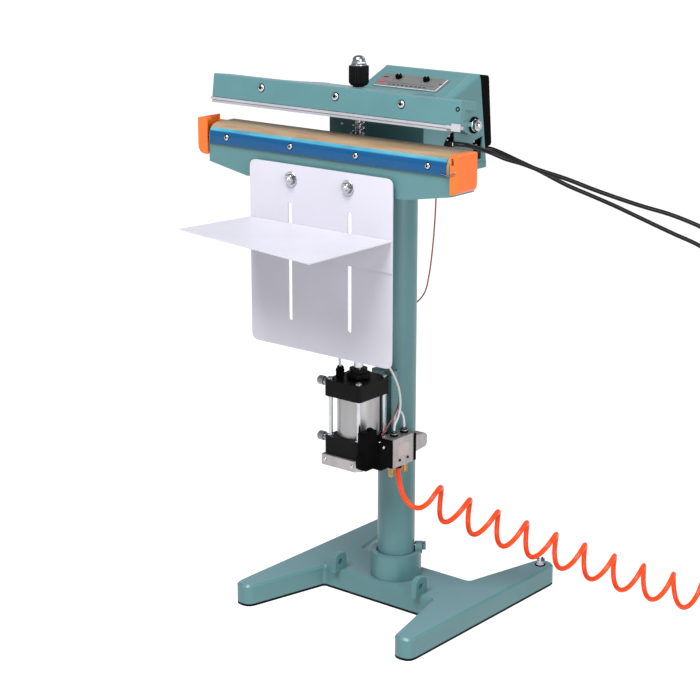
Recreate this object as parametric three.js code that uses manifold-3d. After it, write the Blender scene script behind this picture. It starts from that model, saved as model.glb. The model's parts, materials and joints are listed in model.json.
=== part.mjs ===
// Pneumatic impulse heat sealer on a column: an H-shaped cast base, a tube column, a fixed lower jaw with the
// heating wire, an upper jaw that swings on two pivot bolts, and an air cylinder that pulls it down by a rod.
// Millimetres, +Z up. X runs along the jaws to the operator's right, Y runs to the back.
// The origin is the column's axis at floor level.
import * as THREE from 'three';
import { mergeVertices } from 'three/addons/utils/BufferGeometryUtils.js';
import Module from 'manifold-3d';

const wasm = await Module();
wasm.setup();

// ---------------------------------------------------------------- driving dimensions
const GAP = 0.3; // between pieces that touch

// Base
const SOLE_TOP = 4;
const BASE_TOP = 36;
const BASE_BEVEL = 3.5;
const LEG_OUTER_X = 178;
const LEG_TIP_R = 16;
const LEG_FRONT_Y = -195;
const LEG_BACK_Y = 201;
const CROSS_X = 110;
const CROSS_FRONT_Y = -49;
const CROSS_BACK_Y = 50;
const COLLAR_R = 41;
const COLLAR_BORE_R = 32;
const COLLAR_TOP = 78;
const LOCK_ANGLE = 40 * Math.PI / 180; // direction of the clamp screw, from +X towards +Y
const LOCK_Z = 83;
const LOCK_BOSS_R = 42; // how far its boss stands from the column's axis
const LUG_X = 82;

// Column
const COLUMN_R = 30;
const COLUMN_BORE_R = 27;

// Head
const HEAD_Z = 698; // underside of the head
const FLOOR_TOP = 708; // top of the tray under the housing
const HOUSING_X = 90;
const WALL = 3;
const HOUSING_ROUND = 14; // along the edges between its slope and its sides
const HOUSING_FRONT_Y = -57;
const SLOPE_FRONT_Z = 790;
const SLOPE_BACK_Y = 71;
const HOUSING_TOP = 843;
const TOP_BACK_Y = 84;
const TRAY_BACK_Y = 103.5;
const SLOPE_ANGLE = Math.atan2(HOUSING_TOP - SLOPE_FRONT_Z, SLOPE_BACK_Y - HOUSING_FRONT_Y);

// Lower jaw
const JAW_LEFT = -226;
const JAW_RIGHT = 231.5;
const JAW_FRONT_Y = -180;
const JAW_BACK_Y = -126;
const JAW_TOP = 768;
const JAW_ROUND = 18;
const JAW_END_Z = 711;
const JAW_MID_Z = 697;
const JAW_MID_X = 150;

// Upper jaw, drawn closed and turned open about its pivot
const PIVOT_Y = 48.5;
const PIVOT_Z = 771;
const OPEN_ANGLE = 7.7 * Math.PI / 180;
const BAR_LEFT = -229;
const BAR_RIGHT = 235;
const BAR_FRONT_Y = -171;
const BAR_BOTTOM = 779.2;
const BAR_TOP = 814;
const WEB_BOTTOM = 802;
const ARM_INNER_X = 93;
const ARM_OUTER_X = 104;
const BOLT_R = 6;

// Pull rod, spring and knob
const ROD_Y = -97;
const ROD_R = 5;
const BRIDGE_TOP = 730;
const COLLAR_UNDER_WEB = 820.5;
const KNOB_BOTTOM = 835.6;
const KNOB_TOP = 866;

// Backing plate and shelf
const PLATE_X = 135.5;
const PLATE_BOTTOM = 447;
const PLATE_TOP = 726;
const PLATE_FRONT_Y = -188.5;
const SHEET = 2;
const SLOT_X = 57;
const SLOT_BOTTOM = 489;
const SLOT_TOP = 669;
const SLOT_WIDTH = 7;
const PLATE_BOLT_X = 54;
const PLATE_BOLT_Z = 704;
const SHELF_TOP = 638;
const SHELF_FRONT_Y = -371;
const SHELF_LEFT_FRONT = [-341, 644]; // its front left corner stands back and up
const SHELF_FLANGE = 48;
const SHELF_BOLT_Z = 614;

// Air cylinder
const CYL_HALF = 35;
const COVER_FRONT_Y = -138;
const COVER_BACK_Y = -62;
const CYL_TOP = 389.5;
const COVER_TOP_Z = 363.5;
const COVER_LOW_TOP = 299;
const COVER_LOW_Z = 270.7;
const BARREL_R = 33;
const BORE_R = 30.5;
const PISTON_ROD_R = 7.5;
const ROD_JOINT_Z = 429;
const NEEDLE_Y = -116;
const NEEDLE_ZS = { flow_screw_top: 379, flow_screw_bottom: 289 };

// Valve, along Y beside the cylinder
const VALVE_X = 49;
const VALVE_FRONT_Y = -89;
const VALVE_BACK_Y = -37;
const VALVE_BOTTOM = 252;
const VALVE_TOP = 298;
const VALVE_PORT_YS = [-70, -45];

// Cords
const CABLE_R = 3.5;
const CABLE_COIL_R = 38.5; // centre of the coil's turns
const HOSE_R = 4;
const HOSE_COIL_R = 24; // centre line of the curly hose's helix
const TUBE_R = 2;
const WIRE_R = 1.2;

// Free cords: the hand-laid points of each route
const MAINS_ROUTE = [
  [44, 134.4, 717], [44.4, 141, 717], [46.2, 149, 716.9], [50.4, 157, 716.2], [57, 164.6, 714.2],
  [66, 171.5, 710], [96, 191, 694], [118, 208, 681], [152, 236, 658], [180, 260, 642], [209, 283, 626],
  [232, 302, 612], [256, 322, 597], [286, 346, 579], [318, 372, 560], [348, 397, 533], [374, 416, 495],
  [391, 428, 440], [399, 433, 370], [402, 434, 280], [402, 433, 180], [402, 431, 90], [402, 429.5, 60],
  [402, 428.8, 38], [404.6, 428.5, 25], [412, 428.3, 14], [423, 428.1, 6.6], [436, 428, 4],
];
const MAINS_COIL = [465, 470];
const SWITCH_ROUTE = [
  [91.8, 14.2, 745.5], [97.1, 18.8, 745.1], [101.6, 24.2, 744.3], [105.4, 31.1, 742.8], [107.8, 38.6, 740.6],
  [109.2, 48, 737.5], [111.6, 61, 733], [117.6, 74.5, 727.5], [134, 92, 717], [153, 107, 710], [174, 124, 700],
  [207, 151, 686], [239, 177, 670], [271, 204, 655], [300, 227, 643], [326, 249, 633], [349, 268, 622],
  [374, 288, 607], [402, 309, 579], [421, 323, 536], [433, 332, 478], [441, 336.5, 400], [445, 338.5, 300],
  [445.6, 339.5, 190], [445.6, 339.2, 95], [445.6, 338.9, 60], [445.6, 338.7, 38], [448.2, 338.6, 25],
  [455.6, 338.5, 14], [466.6, 338.5, 6.6], [479.6, 338.5, 4],
];
const SWITCH_COIL = [510, 380.5];
const HOSE_LEAD = [
  [49, -60, 243.4], [49.7, -59.9, 234], [51, -59.7, 225], [54.1, -59.5, 212.2], [59.1, -59.4, 201.4],
  [65.1, -59.1, 193.5], [71.7, -58.7, 188.3], [78.7, -57.9, 185.2], [85.5, -56.9, 184.6], [91.8, -54.9, 186.4],
];
const HOSE_AXIS = [
  [85.3, -31.5, 193], [104, -16, 183], [139, 13, 162], [175, 42, 142], [210, 71, 124], [247, 101, 104],
  [283, 131, 86], [321, 162, 67], [356, 190, 52], [393, 221, 38], [424, 246, 30], [458, 274, 28.5],
  [491, 301, 28.5],
];
const HOSE_TAIL = [[504, 283, 4.4], [517, 267, 4.4], [530, 251, 5.4], [541.5, 237, 8]];
const AIR_TUBE_TOP = [
  [-20, -117, 408.4], [-20, -118, 430], [-10, -124, 450], [12, -125, 458], [32, -112, 449], [41, -86, 422],
  [44, -66, 394], [47, -56, 368], [49.5, -56, 345], [50, -62, 327], [49, -69, 315], [49, -70, 306.4],
];
const AIR_TUBE_LOW = [
  [49, -45, 306.4], [48.8, -45.2, 316], [46.5, -45.5, 325], [42, -46, 331], [36.5, -46.3, 331],
  [32.5, -46.5, 325], [31, -46.6, 316], [31, -46.6, 301], [31, -48.6, 293.5], [31, -54.1, 288],
  [31, -61.6, 286],
];
const SOLENOID_LEAD = [
  [61, 12, 697.6], [62, 13, 670], [60, 14, 630], [53, 18, 580], [41, 26, 535], [23, 38, 500], [-2, 45, 476],
  [-27, 34, 451], [-41, 5, 434], [-36, -28, 421], [-14, -44, 409], [12, -45, 397], [27, -46, 386],
  [38, -45, 370], [43, -48, 354], [43.5, -54, 341], [42.5, -63, 327], [41, -72, 316.5], [40.2, -79.5, 309.5],
  [40.6, -87, 305], [41.6, -93, 301.3], [42, -95, 296.9],
];

// ---------------------------------------------------------------- materials
function paint(color, roughness, metalness) {
  return new THREE.MeshStandardMaterial({ color, roughness, metalness });
}
const TEAL = paint(0x6f9f9f, 0.45, 0.1);
const RUBBER = paint(0x17181a, 0.85, 0);
const CHROME = paint(0xc9ccd0, 0.15, 1);
const STEEL = paint(0x9ea3a8, 0.35, 1);
const ALUMINIUM = paint(0xb9bcc0, 0.35, 1);
const BLACK_PLASTIC = paint(0x141517, 0.5, 0);
const ORANGE_PLASTIC = paint(0xf97c37, 0.4, 0);
const WHITE_PAINT = paint(0xe9e8f0, 0.4, 0);
const BLUE_FILM = paint(0x1c62a0, 0.25, 0.6);
const TAPE = paint(0xc9a078, 0.6, 0);
const GREY_LABEL = paint(0xa9a6a6, 0.5, 0);
const COPPER = paint(0xb06a3c, 0.4, 1);
const BOARD = paint(0x1f5c3a, 0.6, 0);
const BLACK_ANODISED = paint(0x1b1b1d, 0.45, 0.4);
const HOSE_ORANGE = paint(0xf05a28, 0.35, 0);
const CLEAR_TUBE = paint(0xd8dcdf, 0.3, 0);
const LEAD_RED = paint(0x9c4a34, 0.5, 0);
const SILICONE = paint(0xdfe0e2, 0.7, 0);

// ---------------------------------------------------------------- shape helpers
function solid(geometry) {
  const bare = geometry.clone();
  bare.deleteAttribute('normal');
  bare.deleteAttribute('uv');
  const merged = mergeVertices(bare, 1e-4);
  const index = merged.index.array;
  const kept = [];
  for (let i = 0; i < index.length; i += 3) {
    const [a, b, c] = [index[i], index[i + 1], index[i + 2]];
    if (a !== b && b !== c && c !== a) kept.push(a, b, c);
  }
  return new wasm.Manifold(new wasm.Mesh({
    numProp: 3,
    vertProperties: new Float32Array(merged.attributes.position.array),
    triVerts: new Uint32Array(kept),
  }));
}

function geometryOf(manifold) {
  const mesh = manifold.getMesh();
  const geometry = new THREE.BufferGeometry();
  geometry.setAttribute('position', new THREE.BufferAttribute(mesh.vertProperties, 3));
  geometry.setIndex(new THREE.BufferAttribute(mesh.triVerts, 1));
  geometry.computeVertexNormals();
  return geometry;
}

function box([x0, x1], [y0, y1], [z0, z1]) {
  const geometry = new THREE.BoxGeometry(x1 - x0, y1 - y0, z1 - z0);
  return solid(geometry.translate((x0 + x1) / 2, (y0 + y1) / 2, (z0 + z1) / 2));
}

// A closed outline from points; a point with a third value is a corner rounded by that radius
function outline(points) {
  const shape = new THREE.Shape();
  points.forEach(([x, y, r = 0], i) => {
    const here = new THREE.Vector2(x, y);
    const [bx, by] = points[(i + points.length - 1) % points.length];
    const [nx, ny] = points[(i + 1) % points.length];
    const back = new THREE.Vector2(bx, by).sub(here).normalize();
    const next = new THREE.Vector2(nx, ny).sub(here).normalize();
    const cut = r > 0 ? r / Math.tan(Math.acos(back.dot(next)) / 2) : 0;
    const start = here.clone().addScaledVector(back, cut);
    const end = here.clone().addScaledVector(next, cut);
    if (i === 0) shape.moveTo(start.x, start.y);
    else shape.lineTo(start.x, start.y);
    if (r > 0) shape.quadraticCurveTo(here.x, here.y, end.x, end.y);
  });
  shape.closePath();
  return shape;
}

function rectangle(width, height, r, x = 0, y = 0) {
  const [w, h] = [width / 2, height / 2];
  return outline([[x - w, y - h, r], [x + w, y - h, r], [x + w, y + h, r], [x - w, y + h, r]]);
}

// A prism: the outline lies in the two other axes, in the order XY, XZ or YZ, and runs along the named axis
function prism(axis, shape, from, to, { curveSegments = 4 } = {}) {
  const geometry = new THREE.ExtrudeGeometry(shape, { depth: to - from, bevelEnabled: false, curveSegments });
  if (axis === 'z') return solid(geometry.translate(0, 0, from));
  if (axis === 'y') return solid(geometry.rotateX(Math.PI / 2).translate(0, to, 0));
  const turn = new THREE.Matrix4().set(0, 0, 1, from, 1, 0, 0, 0, 0, 1, 0, 0, 0, 0, 0, 1);
  return solid(geometry.applyMatrix4(turn));
}

// A solid of revolution: profile points are [radius, distance along the axis]
function turned(profile, at, direction = [0, 0, 1], segments = 20) {
  const points = profile.map(([r, d]) => new THREE.Vector2(r, d));
  const geometry = new THREE.LatheGeometry(points, segments);
  const turn = new THREE.Quaternion().setFromUnitVectors(
    new THREE.Vector3(0, 1, 0), new THREE.Vector3(...direction).normalize());
  return solid(geometry.applyQuaternion(turn).translate(...at));
}

function rod(radius, from, to, at, direction = [0, 0, 1], segments = 20) {
  return turned([[0, from], [radius, from], [radius, to], [0, to]], at, direction, segments);
}

function ring(inner, outer, from, to, at, direction = [0, 0, 1], segments = 32) {
  const profile = [[inner, from], [outer, from], [outer, to], [inner, to], [inner, from]];
  return turned(profile, at, direction, segments);
}

// A round cord along its hand-laid points, cut square at both ends
function cord(points, radius, sides, steps) {
  const corners = [];
  for (let i = 0; i < sides; i += 1) {
    const angle = 2 * Math.PI * i / sides;
    corners.push(new THREE.Vector2(radius * Math.cos(angle), radius * Math.sin(angle)));
  }
  const path = new THREE.CatmullRomCurve3(points.map((p) => new THREE.Vector3(...p)), false, 'centripetal');
  return solid(new THREE.ExtrudeGeometry(new THREE.Shape(corners), { steps, extrudePath: path }));
}

const group = new THREE.Group();

function piece(name, shape, material, parent = group) {
  const mesh = new THREE.Mesh(geometryOf(shape), material);
  mesh.name = name;
  parent.add(mesh);
  return mesh;
}

// ---------------------------------------------------------------- base and column
function baseOutline() {
  const tip = LEG_TIP_R;
  const innerTipX = LEG_OUTER_X - 2 * tip;
  const right = [
    [CROSS_X, CROSS_FRONT_Y, 6], [innerTipX, LEG_FRONT_Y, tip], [LEG_OUTER_X, LEG_FRONT_Y, tip],
    [LEG_OUTER_X, LEG_BACK_Y, tip], [innerTipX, LEG_BACK_Y, tip], [CROSS_X, CROSS_BACK_Y, 6],
  ];
  const left = right.map(([x, y, r]) => [-x, y, r]).reverse();
  return outline([...right, ...left]);
}

function baseCasting() {
  const body = new THREE.ExtrudeGeometry(baseOutline(), {
    depth: BASE_TOP - BASE_BEVEL, bevelEnabled: true, bevelThickness: BASE_BEVEL, bevelSize: BASE_BEVEL,
    bevelOffset: -BASE_BEVEL, bevelSegments: 1, curveSegments: 3,
  });
  let base = solid(body).subtract(box([-300, 300], [-300, 300], [-50, SOLE_TOP + GAP]));
  base = base.add(rod(COLLAR_R, BASE_TOP - 2, COLLAR_TOP, [0, 0, 0], [0, 0, 1], 36));
  const out = [Math.cos(LOCK_ANGLE), Math.sin(LOCK_ANGLE), 0];
  base = base.add(rod(10, 30, LOCK_BOSS_R, [0, 0, LOCK_Z - 2], out, 16));
  for (const side of [-1, 1]) {
    const lug = outline([[-61, BASE_TOP - 2], [-32, BASE_TOP - 2], [-32, 65, 11], [-58, 65, 12]]);
    base = base.add(prism('x', lug, side * LUG_X - 5, side * LUG_X + 5));
    base = base.subtract(rod(5, -9, 9, [side * LUG_X, -48, 51], [1, 0, 0], 14));
  }
  base = base.subtract(rod(COLLAR_BORE_R, BASE_TOP, 120, [0, 0, 0], [0, 0, 1], 36));
  return base.subtract(rod(4.4, 20, 60, [0, 0, LOCK_Z], out, 12));
}

function columnLockBolt() {
  const out = [Math.cos(LOCK_ANGLE), Math.sin(LOCK_ANGLE), 0];
  const shank = rod(4, COLUMN_R + GAP, LOCK_BOSS_R + 4, [0, 0, LOCK_Z], out, 12);
  return shank.add(rod(8, LOCK_BOSS_R + GAP, LOCK_BOSS_R + 6, [0, 0, LOCK_Z], out, 6));
}

piece('base_casting', baseCasting(), TEAL);
piece('base_sole', prism('z', baseOutline(), 0, SOLE_TOP, { curveSegments: 3 }), RUBBER);
piece('column_tube', ring(COLUMN_BORE_R, COLUMN_R, BASE_TOP + GAP, HEAD_Z - GAP, [0, 0, 0]), TEAL);
piece('column_lock_bolt', columnLockBolt(), CHROME);

// ---------------------------------------------------------------- lower jaw and head frame
// The jaw's section grown outwards by "out": front face, rounded edge up to "turn" radians, and the top
function jawSkin(out, fromZ, turn, topTo) {
  const [cy, cz, r] = [JAW_FRONT_Y + JAW_ROUND, JAW_TOP - JAW_ROUND, JAW_ROUND + out];
  const points = [[JAW_FRONT_Y - out, fromZ]];
  for (let i = 0; i <= 6; i += 1) {
    const angle = Math.PI - turn * i / 6;
    points.push([cy + r * Math.cos(angle), cz + r * Math.sin(angle)]);
  }
  if (topTo !== undefined) points.push([topTo, JAW_TOP + out]);
  return points;
}

function jawSheet(inner, outer, fromZ, turn, topTo) {
  return outline([...jawSkin(outer, fromZ, turn, topTo), ...jawSkin(inner, fromZ, turn, topTo).reverse()]);
}

function lowerJawFrame() {
  const front = outline([
    [JAW_LEFT, JAW_TOP], [JAW_LEFT, JAW_END_Z], [-JAW_MID_X, JAW_MID_Z], [JAW_MID_X, JAW_MID_Z],
    [JAW_RIGHT, JAW_END_Z], [JAW_RIGHT, JAW_TOP],
  ]);
  const section = outline([...jawSkin(0, 690, Math.PI / 2, JAW_BACK_Y), [JAW_BACK_Y, 690]]);
  let frame = prism('y', front, JAW_FRONT_Y, JAW_BACK_Y).intersect(prism('x', section, JAW_LEFT, JAW_RIGHT));
  frame = frame.add(box([-86, 86], [JAW_BACK_Y - 2, HOUSING_FRONT_Y - GAP], [HEAD_Z, BRIDGE_TOP]));
  frame = frame.add(box([-86, 86], [HOUSING_FRONT_Y - 2, HOUSING_FRONT_Y + 2], [HEAD_Z, FLOOR_TOP]));
  frame = frame.add(box([-HOUSING_X, HOUSING_X], [HOUSING_FRONT_Y, TRAY_BACK_Y], [HEAD_Z, FLOOR_TOP]));
  const backWall = outline([[94, FLOOR_TOP - 1], [99.5, FLOOR_TOP - 1], [97.2, 725], [91.7, 725]]);
  frame = frame.add(prism('x', backWall, -86.5, 86.5));
  for (const side of [-1, 1]) {
    const cheek = outline([[30, FLOOR_TOP - 1], [76, FLOOR_TOP - 1], [66, 784, 6], [38, 784, 6]]);
    frame = frame.add(prism('x', cheek, side > 0 ? 78 : -86.5, side > 0 ? 86.5 : -78));
    frame = frame.subtract(rod(BOLT_R + GAP, -92, 92, [0, PIVOT_Y, PIVOT_Z], [1, 0, 0], 16));
    const boltAt = [side * PLATE_BOLT_X, JAW_FRONT_Y - 5, PLATE_BOLT_Z];
    frame = frame.subtract(rod(4.4, 0, 30, boltAt, [0, 1, 0], 12));
  }
  frame = frame.add(rod(COLUMN_BORE_R - 0.5, 660, HEAD_Z + 2, [0, 0, 0], [0, 0, 1], 32));
  frame = frame.subtract(rod(5.5, 0, 20, [44, 90, 717], [0, 1, 0], 14));
  return frame.subtract(rod(ROD_R + 1, 680, 780, [0, ROD_Y, 0], [0, 0, 1], 16));
}

piece('lower_jaw_frame', lowerJawFrame(), TEAL);
piece('heating_wire', box([-222, 226], [-157, -152], [JAW_TOP + 0.3, JAW_TOP + 0.9]), STEEL);
piece('ptfe_tape', prism('x', jawSheet(1.2, 1.8, 740, Math.PI / 2, JAW_BACK_Y), -224, 228.5), TAPE);
piece('tape_clamp_strip', prism('x', jawSheet(2.1, 3.3, 744, 0.7), -222, 224), BLUE_FILM);

// A hollow moulded cover over a jaw end, from "near" the jaw out to "far", its low outer corner rounded
function endCap(near, far, low, high, round) {
  const side = Math.sign(far);
  const inner = far - side * 3.5;
  const face = outline([[near, high], [near, low], [far, low, round], [far, high, 3]]);
  const hollow = outline([
    [near - side, high - 3.5], [near - side, low + 3.5], [inner, low + 3.5, round - 2], [inner, high - 3.5],
  ]);
  return prism('y', face, -184.5, -138).subtract(prism('y', hollow, -181, -141.5));
}

function endCapLeft() {
  const near = JAW_LEFT - 2 * GAP;
  return endCap(near, -245, 721.8, 777.3, 14).subtract(box([-241.5, near + 1], [-174, -130], [769, 790]));
}

function endCapRight() {
  const near = JAW_RIGHT + 2 * GAP;
  return endCap(near, 245, 714.8, 770.6, 11).subtract(box([near + 2, near + 6], [-190, -179], [756, 766]));
}
piece('end_cap_left', endCapLeft(), ORANGE_PLASTIC);
piece('end_cap_right', endCapRight(), ORANGE_PLASTIC);

// ---------------------------------------------------------------- electronics housing
// A point on the sloping panel: distance along X, distance up the slope from its front edge, height off it
function onSlope(x, along, off) {
  return [
    x, HOUSING_FRONT_Y + along * Math.cos(SLOPE_ANGLE) - off * Math.sin(SLOPE_ANGLE),
    SLOPE_FRONT_Z + along * Math.sin(SLOPE_ANGLE) + off * Math.cos(SLOPE_ANGLE),
  ];
}
const SLOPE_NORMAL = [0, -Math.sin(SLOPE_ANGLE), Math.cos(SLOPE_ANGLE)];
const KNOB_ALONG = 105;
const KNOB_XS = { sealing_time_knob: -31, cooling_time_knob: 22 };
const LABEL = { x0: -64, x1: 60, from: 77, to: 115 };

// A bar along the slope with rounded upper edges: all that lies under a face "off" the slope, out to "half"
function slopeBar(half, off, round) {
  const section = outline([[-half, -260], [half, -260], [half, off, round], [-half, off, round]]);
  return prism('y', section, -120, 260).rotate([SLOPE_ANGLE * 180 / Math.PI, 0, 0])
    .translate([0, HOUSING_FRONT_Y, SLOPE_FRONT_Z]);
}

function housingShell() {
  const side = outline([
    [HOUSING_FRONT_Y, FLOOR_TOP + GAP], [TRAY_BACK_Y - 0.5, FLOOR_TOP + GAP], [TOP_BACK_Y, HOUSING_TOP, 4],
    [SLOPE_BACK_Y, HOUSING_TOP, 8], [HOUSING_FRONT_Y, SLOPE_FRONT_Z, 8],
  ]);
  const inside = outline([
    [HOUSING_FRONT_Y + WALL, 700], [140, 700], [140, HOUSING_TOP - WALL],
    [SLOPE_BACK_Y + 0.6, HOUSING_TOP - WALL], [HOUSING_FRONT_Y + WALL, SLOPE_FRONT_Z - 2.1],
  ]);
  const inner = HOUSING_X - WALL;
  const hollow = prism('x', inside, -inner, inner).intersect(slopeBar(inner, -WALL, HOUSING_ROUND - WALL));
  const block = prism('x', side, -HOUSING_X, HOUSING_X).intersect(slopeBar(HOUSING_X, 0, HOUSING_ROUND));
  let shell = block.subtract(hollow);
  const window = new THREE.Shape();
  window.moveTo(20, 733);
  window.lineTo(20, 763);
  window.absarc(20, 733, 30, Math.PI / 2, Math.PI, false);
  shell = shell.subtract(prism('x', window, inner - 2, HOUSING_X + 2, { curveSegments: 8 }));
  const second = outline([[62, 741], [62, 713], [90, 713], [92.5, 747.5]]);
  shell = shell.subtract(prism('x', second, inner - 2, HOUSING_X + 2));
  shell = shell.subtract(rod(BOLT_R + GAP, -95, 95, [0, PIVOT_Y, PIVOT_Z], [1, 0, 0], 16));
  for (const x of Object.values(KNOB_XS)) {
    shell = shell.subtract(rod(4, -6, 3, onSlope(x, KNOB_ALONG, 0), SLOPE_NORMAL, 12));
  }
  return shell;
}

function controlPanel() {
  const width = LABEL.x1 - LABEL.x0;
  const shape = rectangle(width, LABEL.to - LABEL.from, 3);
  for (const x of Object.values(KNOB_XS)) {
    const hole = new THREE.Path();
    const [across, up] = [x - (LABEL.x0 + LABEL.x1) / 2, KNOB_ALONG - (LABEL.from + LABEL.to) / 2];
    hole.absarc(across, up, 4, 0, 2 * Math.PI, true);
    shape.holes.push(hole);
  }
  const middle = onSlope((LABEL.x0 + LABEL.x1) / 2, (LABEL.from + LABEL.to) / 2, GAP);
  const geometry = new THREE.ExtrudeGeometry(shape, { depth: 1, bevelEnabled: false, curveSegments: 4 });
  return solid(geometry.rotateX(SLOPE_ANGLE).translate(...middle));
}

function timeKnob(x) {
  const profile = [[0, -8], [3, -8], [3, 1.7], [5.5, 1.7], [5.2, 6.6], [4.4, 7.4], [0, 7.4]];
  return turned(profile, onSlope(x, KNOB_ALONG, 0), SLOPE_NORMAL, 18);
}

function rearCover() {
  const outer = outline([[84.6, 842, 2], [103, 728, 4], [120, 730, 6], [110, 838, 6]]);
  const inner = outline([[70, 838], [90, 732], [116.5, 733.5, 4], [107, 834.5, 4]]);
  const cover = prism('x', outer, -88, 88).subtract(prism('x', inner, -85, 85));
  const front = outline([[60, 860], [84.4, 843], [102.9, 727], [60, 727]]);
  return cover.subtract(prism('x', front, -100, 100));
}

function transformer() {
  const core = box([-60, 4], [-28, 26], [FLOOR_TOP + GAP, 764]);
  return core.add(box([-50, -6], [-40, 38], [722, 750]));
}

function timerBoard() {
  const board = box([14, 72], [-46, 24], [720, 722]);
  return board.add(box([22, 40], [-38, -20], [721, 738])).add(rod(7, 721, 746, [56, -28, 0], [0, 0, 1], 12))
    .add(box([30, 64], [-6, 16], [721, 733]));
}

piece('housing_shell', housingShell(), TEAL);
piece('control_panel', controlPanel(), GREY_LABEL);
for (const [name, x] of Object.entries(KNOB_XS)) piece(name, timeKnob(x), BLACK_PLASTIC);
piece('rear_cover', rearCover(), BLACK_PLASTIC);
piece('transformer', transformer(), COPPER);
piece('timer_board', timerBoard(), BOARD);
piece('mains_gland', turned(
  [[0, 0], [5, 0], [5, 9.5], [9, 9.5], [9, 13], [6.6, 13], [4.6, 40], [0, 40]],
  [44, 94, 717], [0, 1, 0], 16), RUBBER);
piece('switch_gland', turned([[0, -16], [5, -16], [5, 2], [4.6, 6], [0, 6]],
  [86, 10, 745.5], [0.8, 0.6, 0], 16).add(box([75, 80], [-4, 8], [FLOOR_TOP + GAP, 746])), RUBBER);

// ---------------------------------------------------------------- upper jaw
const upperJaw = new THREE.Group();
upperJaw.position.set(0, PIVOT_Y, PIVOT_Z);
upperJaw.rotation.x = -OPEN_ANGLE;
group.add(upperJaw);

function fromPivot(manifold) {
  return manifold.translate([0, -PIVOT_Y, -PIVOT_Z]);
}

function upperJawFrame() {
  const channel = outline([
    [BAR_FRONT_Y, BAR_TOP, 2], [BAR_FRONT_Y, BAR_BOTTOM], [-142, BAR_BOTTOM], [-142, 785], [-161, 785],
    [-161, WEB_BOTTOM], [-136, WEB_BOTTOM], [-136, BAR_TOP],
  ]);
  let frame = prism('x', channel, BAR_LEFT, BAR_RIGHT);
  const web = outline([
    [-128, -138], [128, -138], [ARM_OUTER_X, -112], [ARM_OUTER_X, -72], [-ARM_OUTER_X, -72],
    [-ARM_OUTER_X, -112],
  ]);
  frame = frame.add(prism('z', web, WEB_BOTTOM, BAR_TOP));
  const arm = outline([
    [-140, BAR_TOP], [-140, 790], [-60, 784], [20, 764, 20], [PIVOT_Y - 8, PIVOT_Z - 15, 8],
    [PIVOT_Y + 15, PIVOT_Z - 15, 14], [PIVOT_Y + 15, PIVOT_Z + 15, 14], [10, 792, 12], [-60, BAR_TOP, 10],
  ]);
  for (const side of [-1, 1]) {
    const from = side > 0 ? ARM_INNER_X : -ARM_OUTER_X;
    frame = frame.add(prism('x', arm, from, from + ARM_OUTER_X - ARM_INNER_X));
  }
  frame = frame.subtract(rod(BOLT_R + GAP, -120, 120, [0, PIVOT_Y, PIVOT_Z], [1, 0, 0], 16));
  const slot = rectangle(2 * ROD_R + 1.6, 20.8, ROD_R + 0.7, 0, -101.4);
  return frame.subtract(prism('z', slot, WEB_BOTTOM - 5, BAR_TOP + 5));
}

piece('upper_jaw_frame', fromPivot(upperJawFrame()), TEAL, upperJaw);

function stripHolder() {
  const strip = box([BAR_LEFT - 4.5, 214], [-170, -144], [774.4, 778.9]);
  const end = box([213, 238], [-173, -165], [774.4, 778.9]).add(box([223, 238], [-174, -171.3], [771.4, 782]));
  return strip.add(end);
}
piece('strip_holder', fromPivot(stripHolder()), WHITE_PAINT, upperJaw);
piece('silicone_strip', fromPivot(box([-231, 213], [-169, -147], [770.3, 774.1])), SILICONE, upperJaw);

function pivotBolt(side) {
  const axis = [side, 0, 0];
  const at = [0, PIVOT_Y, PIVOT_Z];
  return rod(BOLT_R, 74, 112, at, axis, 16).add(rod(12, ARM_OUTER_X + GAP, 107, at, axis, 24))
    .add(rod(10, 106, 115, at, axis, 6)).add(rod(BOLT_R, 114, 118, at, axis, 16));
}
piece('pivot_bolt_left', pivotBolt(-1), CHROME);
piece('pivot_bolt_right', pivotBolt(1), CHROME);

// ---------------------------------------------------------------- pull rod, return spring and pressure knob
function pullRod() {
  const at = [0, ROD_Y, 0];
  const nut = [
    [0, KNOB_TOP + GAP], [12, KNOB_TOP + GAP], [12, 868.5], [9, 868.5], [9, 873], [7.6, 873], [5.6, 879.5],
    [2.5, 881], [0, 881],
  ];
  return rod(ROD_R, ROD_JOINT_Z + GAP, 870, at, [0, 0, 1], 16)
    .add(rod(11, ROD_JOINT_Z + GAP, 449, at, [0, 0, 1], 6))
    .add(rod(8, COLLAR_UNDER_WEB - 4, COLLAR_UNDER_WEB, at))
    .add(turned(nut, at, [0, 0, 1], 18));
}

function pressureKnob() {
  const [bore, low, high] = [ROD_R + 0.4, KNOB_BOTTOM, KNOB_TOP];
  const profile = [
    [bore, low], [9, low], [9, low + 1.4], [12, low + 2], [15, low + 6], [15, high], [bore, high], [bore, low],
  ];
  return turned(profile, [0, ROD_Y, 0], [0, 0, 1], 24);
}

piece('pull_rod', pullRod(), CHROME);
piece('pressure_knob', pressureKnob(), BLACK_PLASTIC);
const SPRING_TOP = COLLAR_UNDER_WEB - 4 - GAP;
piece('return_spring', ring(6.6, 9.4, BRIDGE_TOP + GAP, SPRING_TOP, [0, ROD_Y, 0], [0, 0, 1], 16), STEEL);

// ---------------------------------------------------------------- backing plate and shelf
function slot(x, z0, z1, width) {
  return rectangle(width, z1 - z0, width / 2 - 0.01, x, (z0 + z1) / 2);
}

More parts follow.
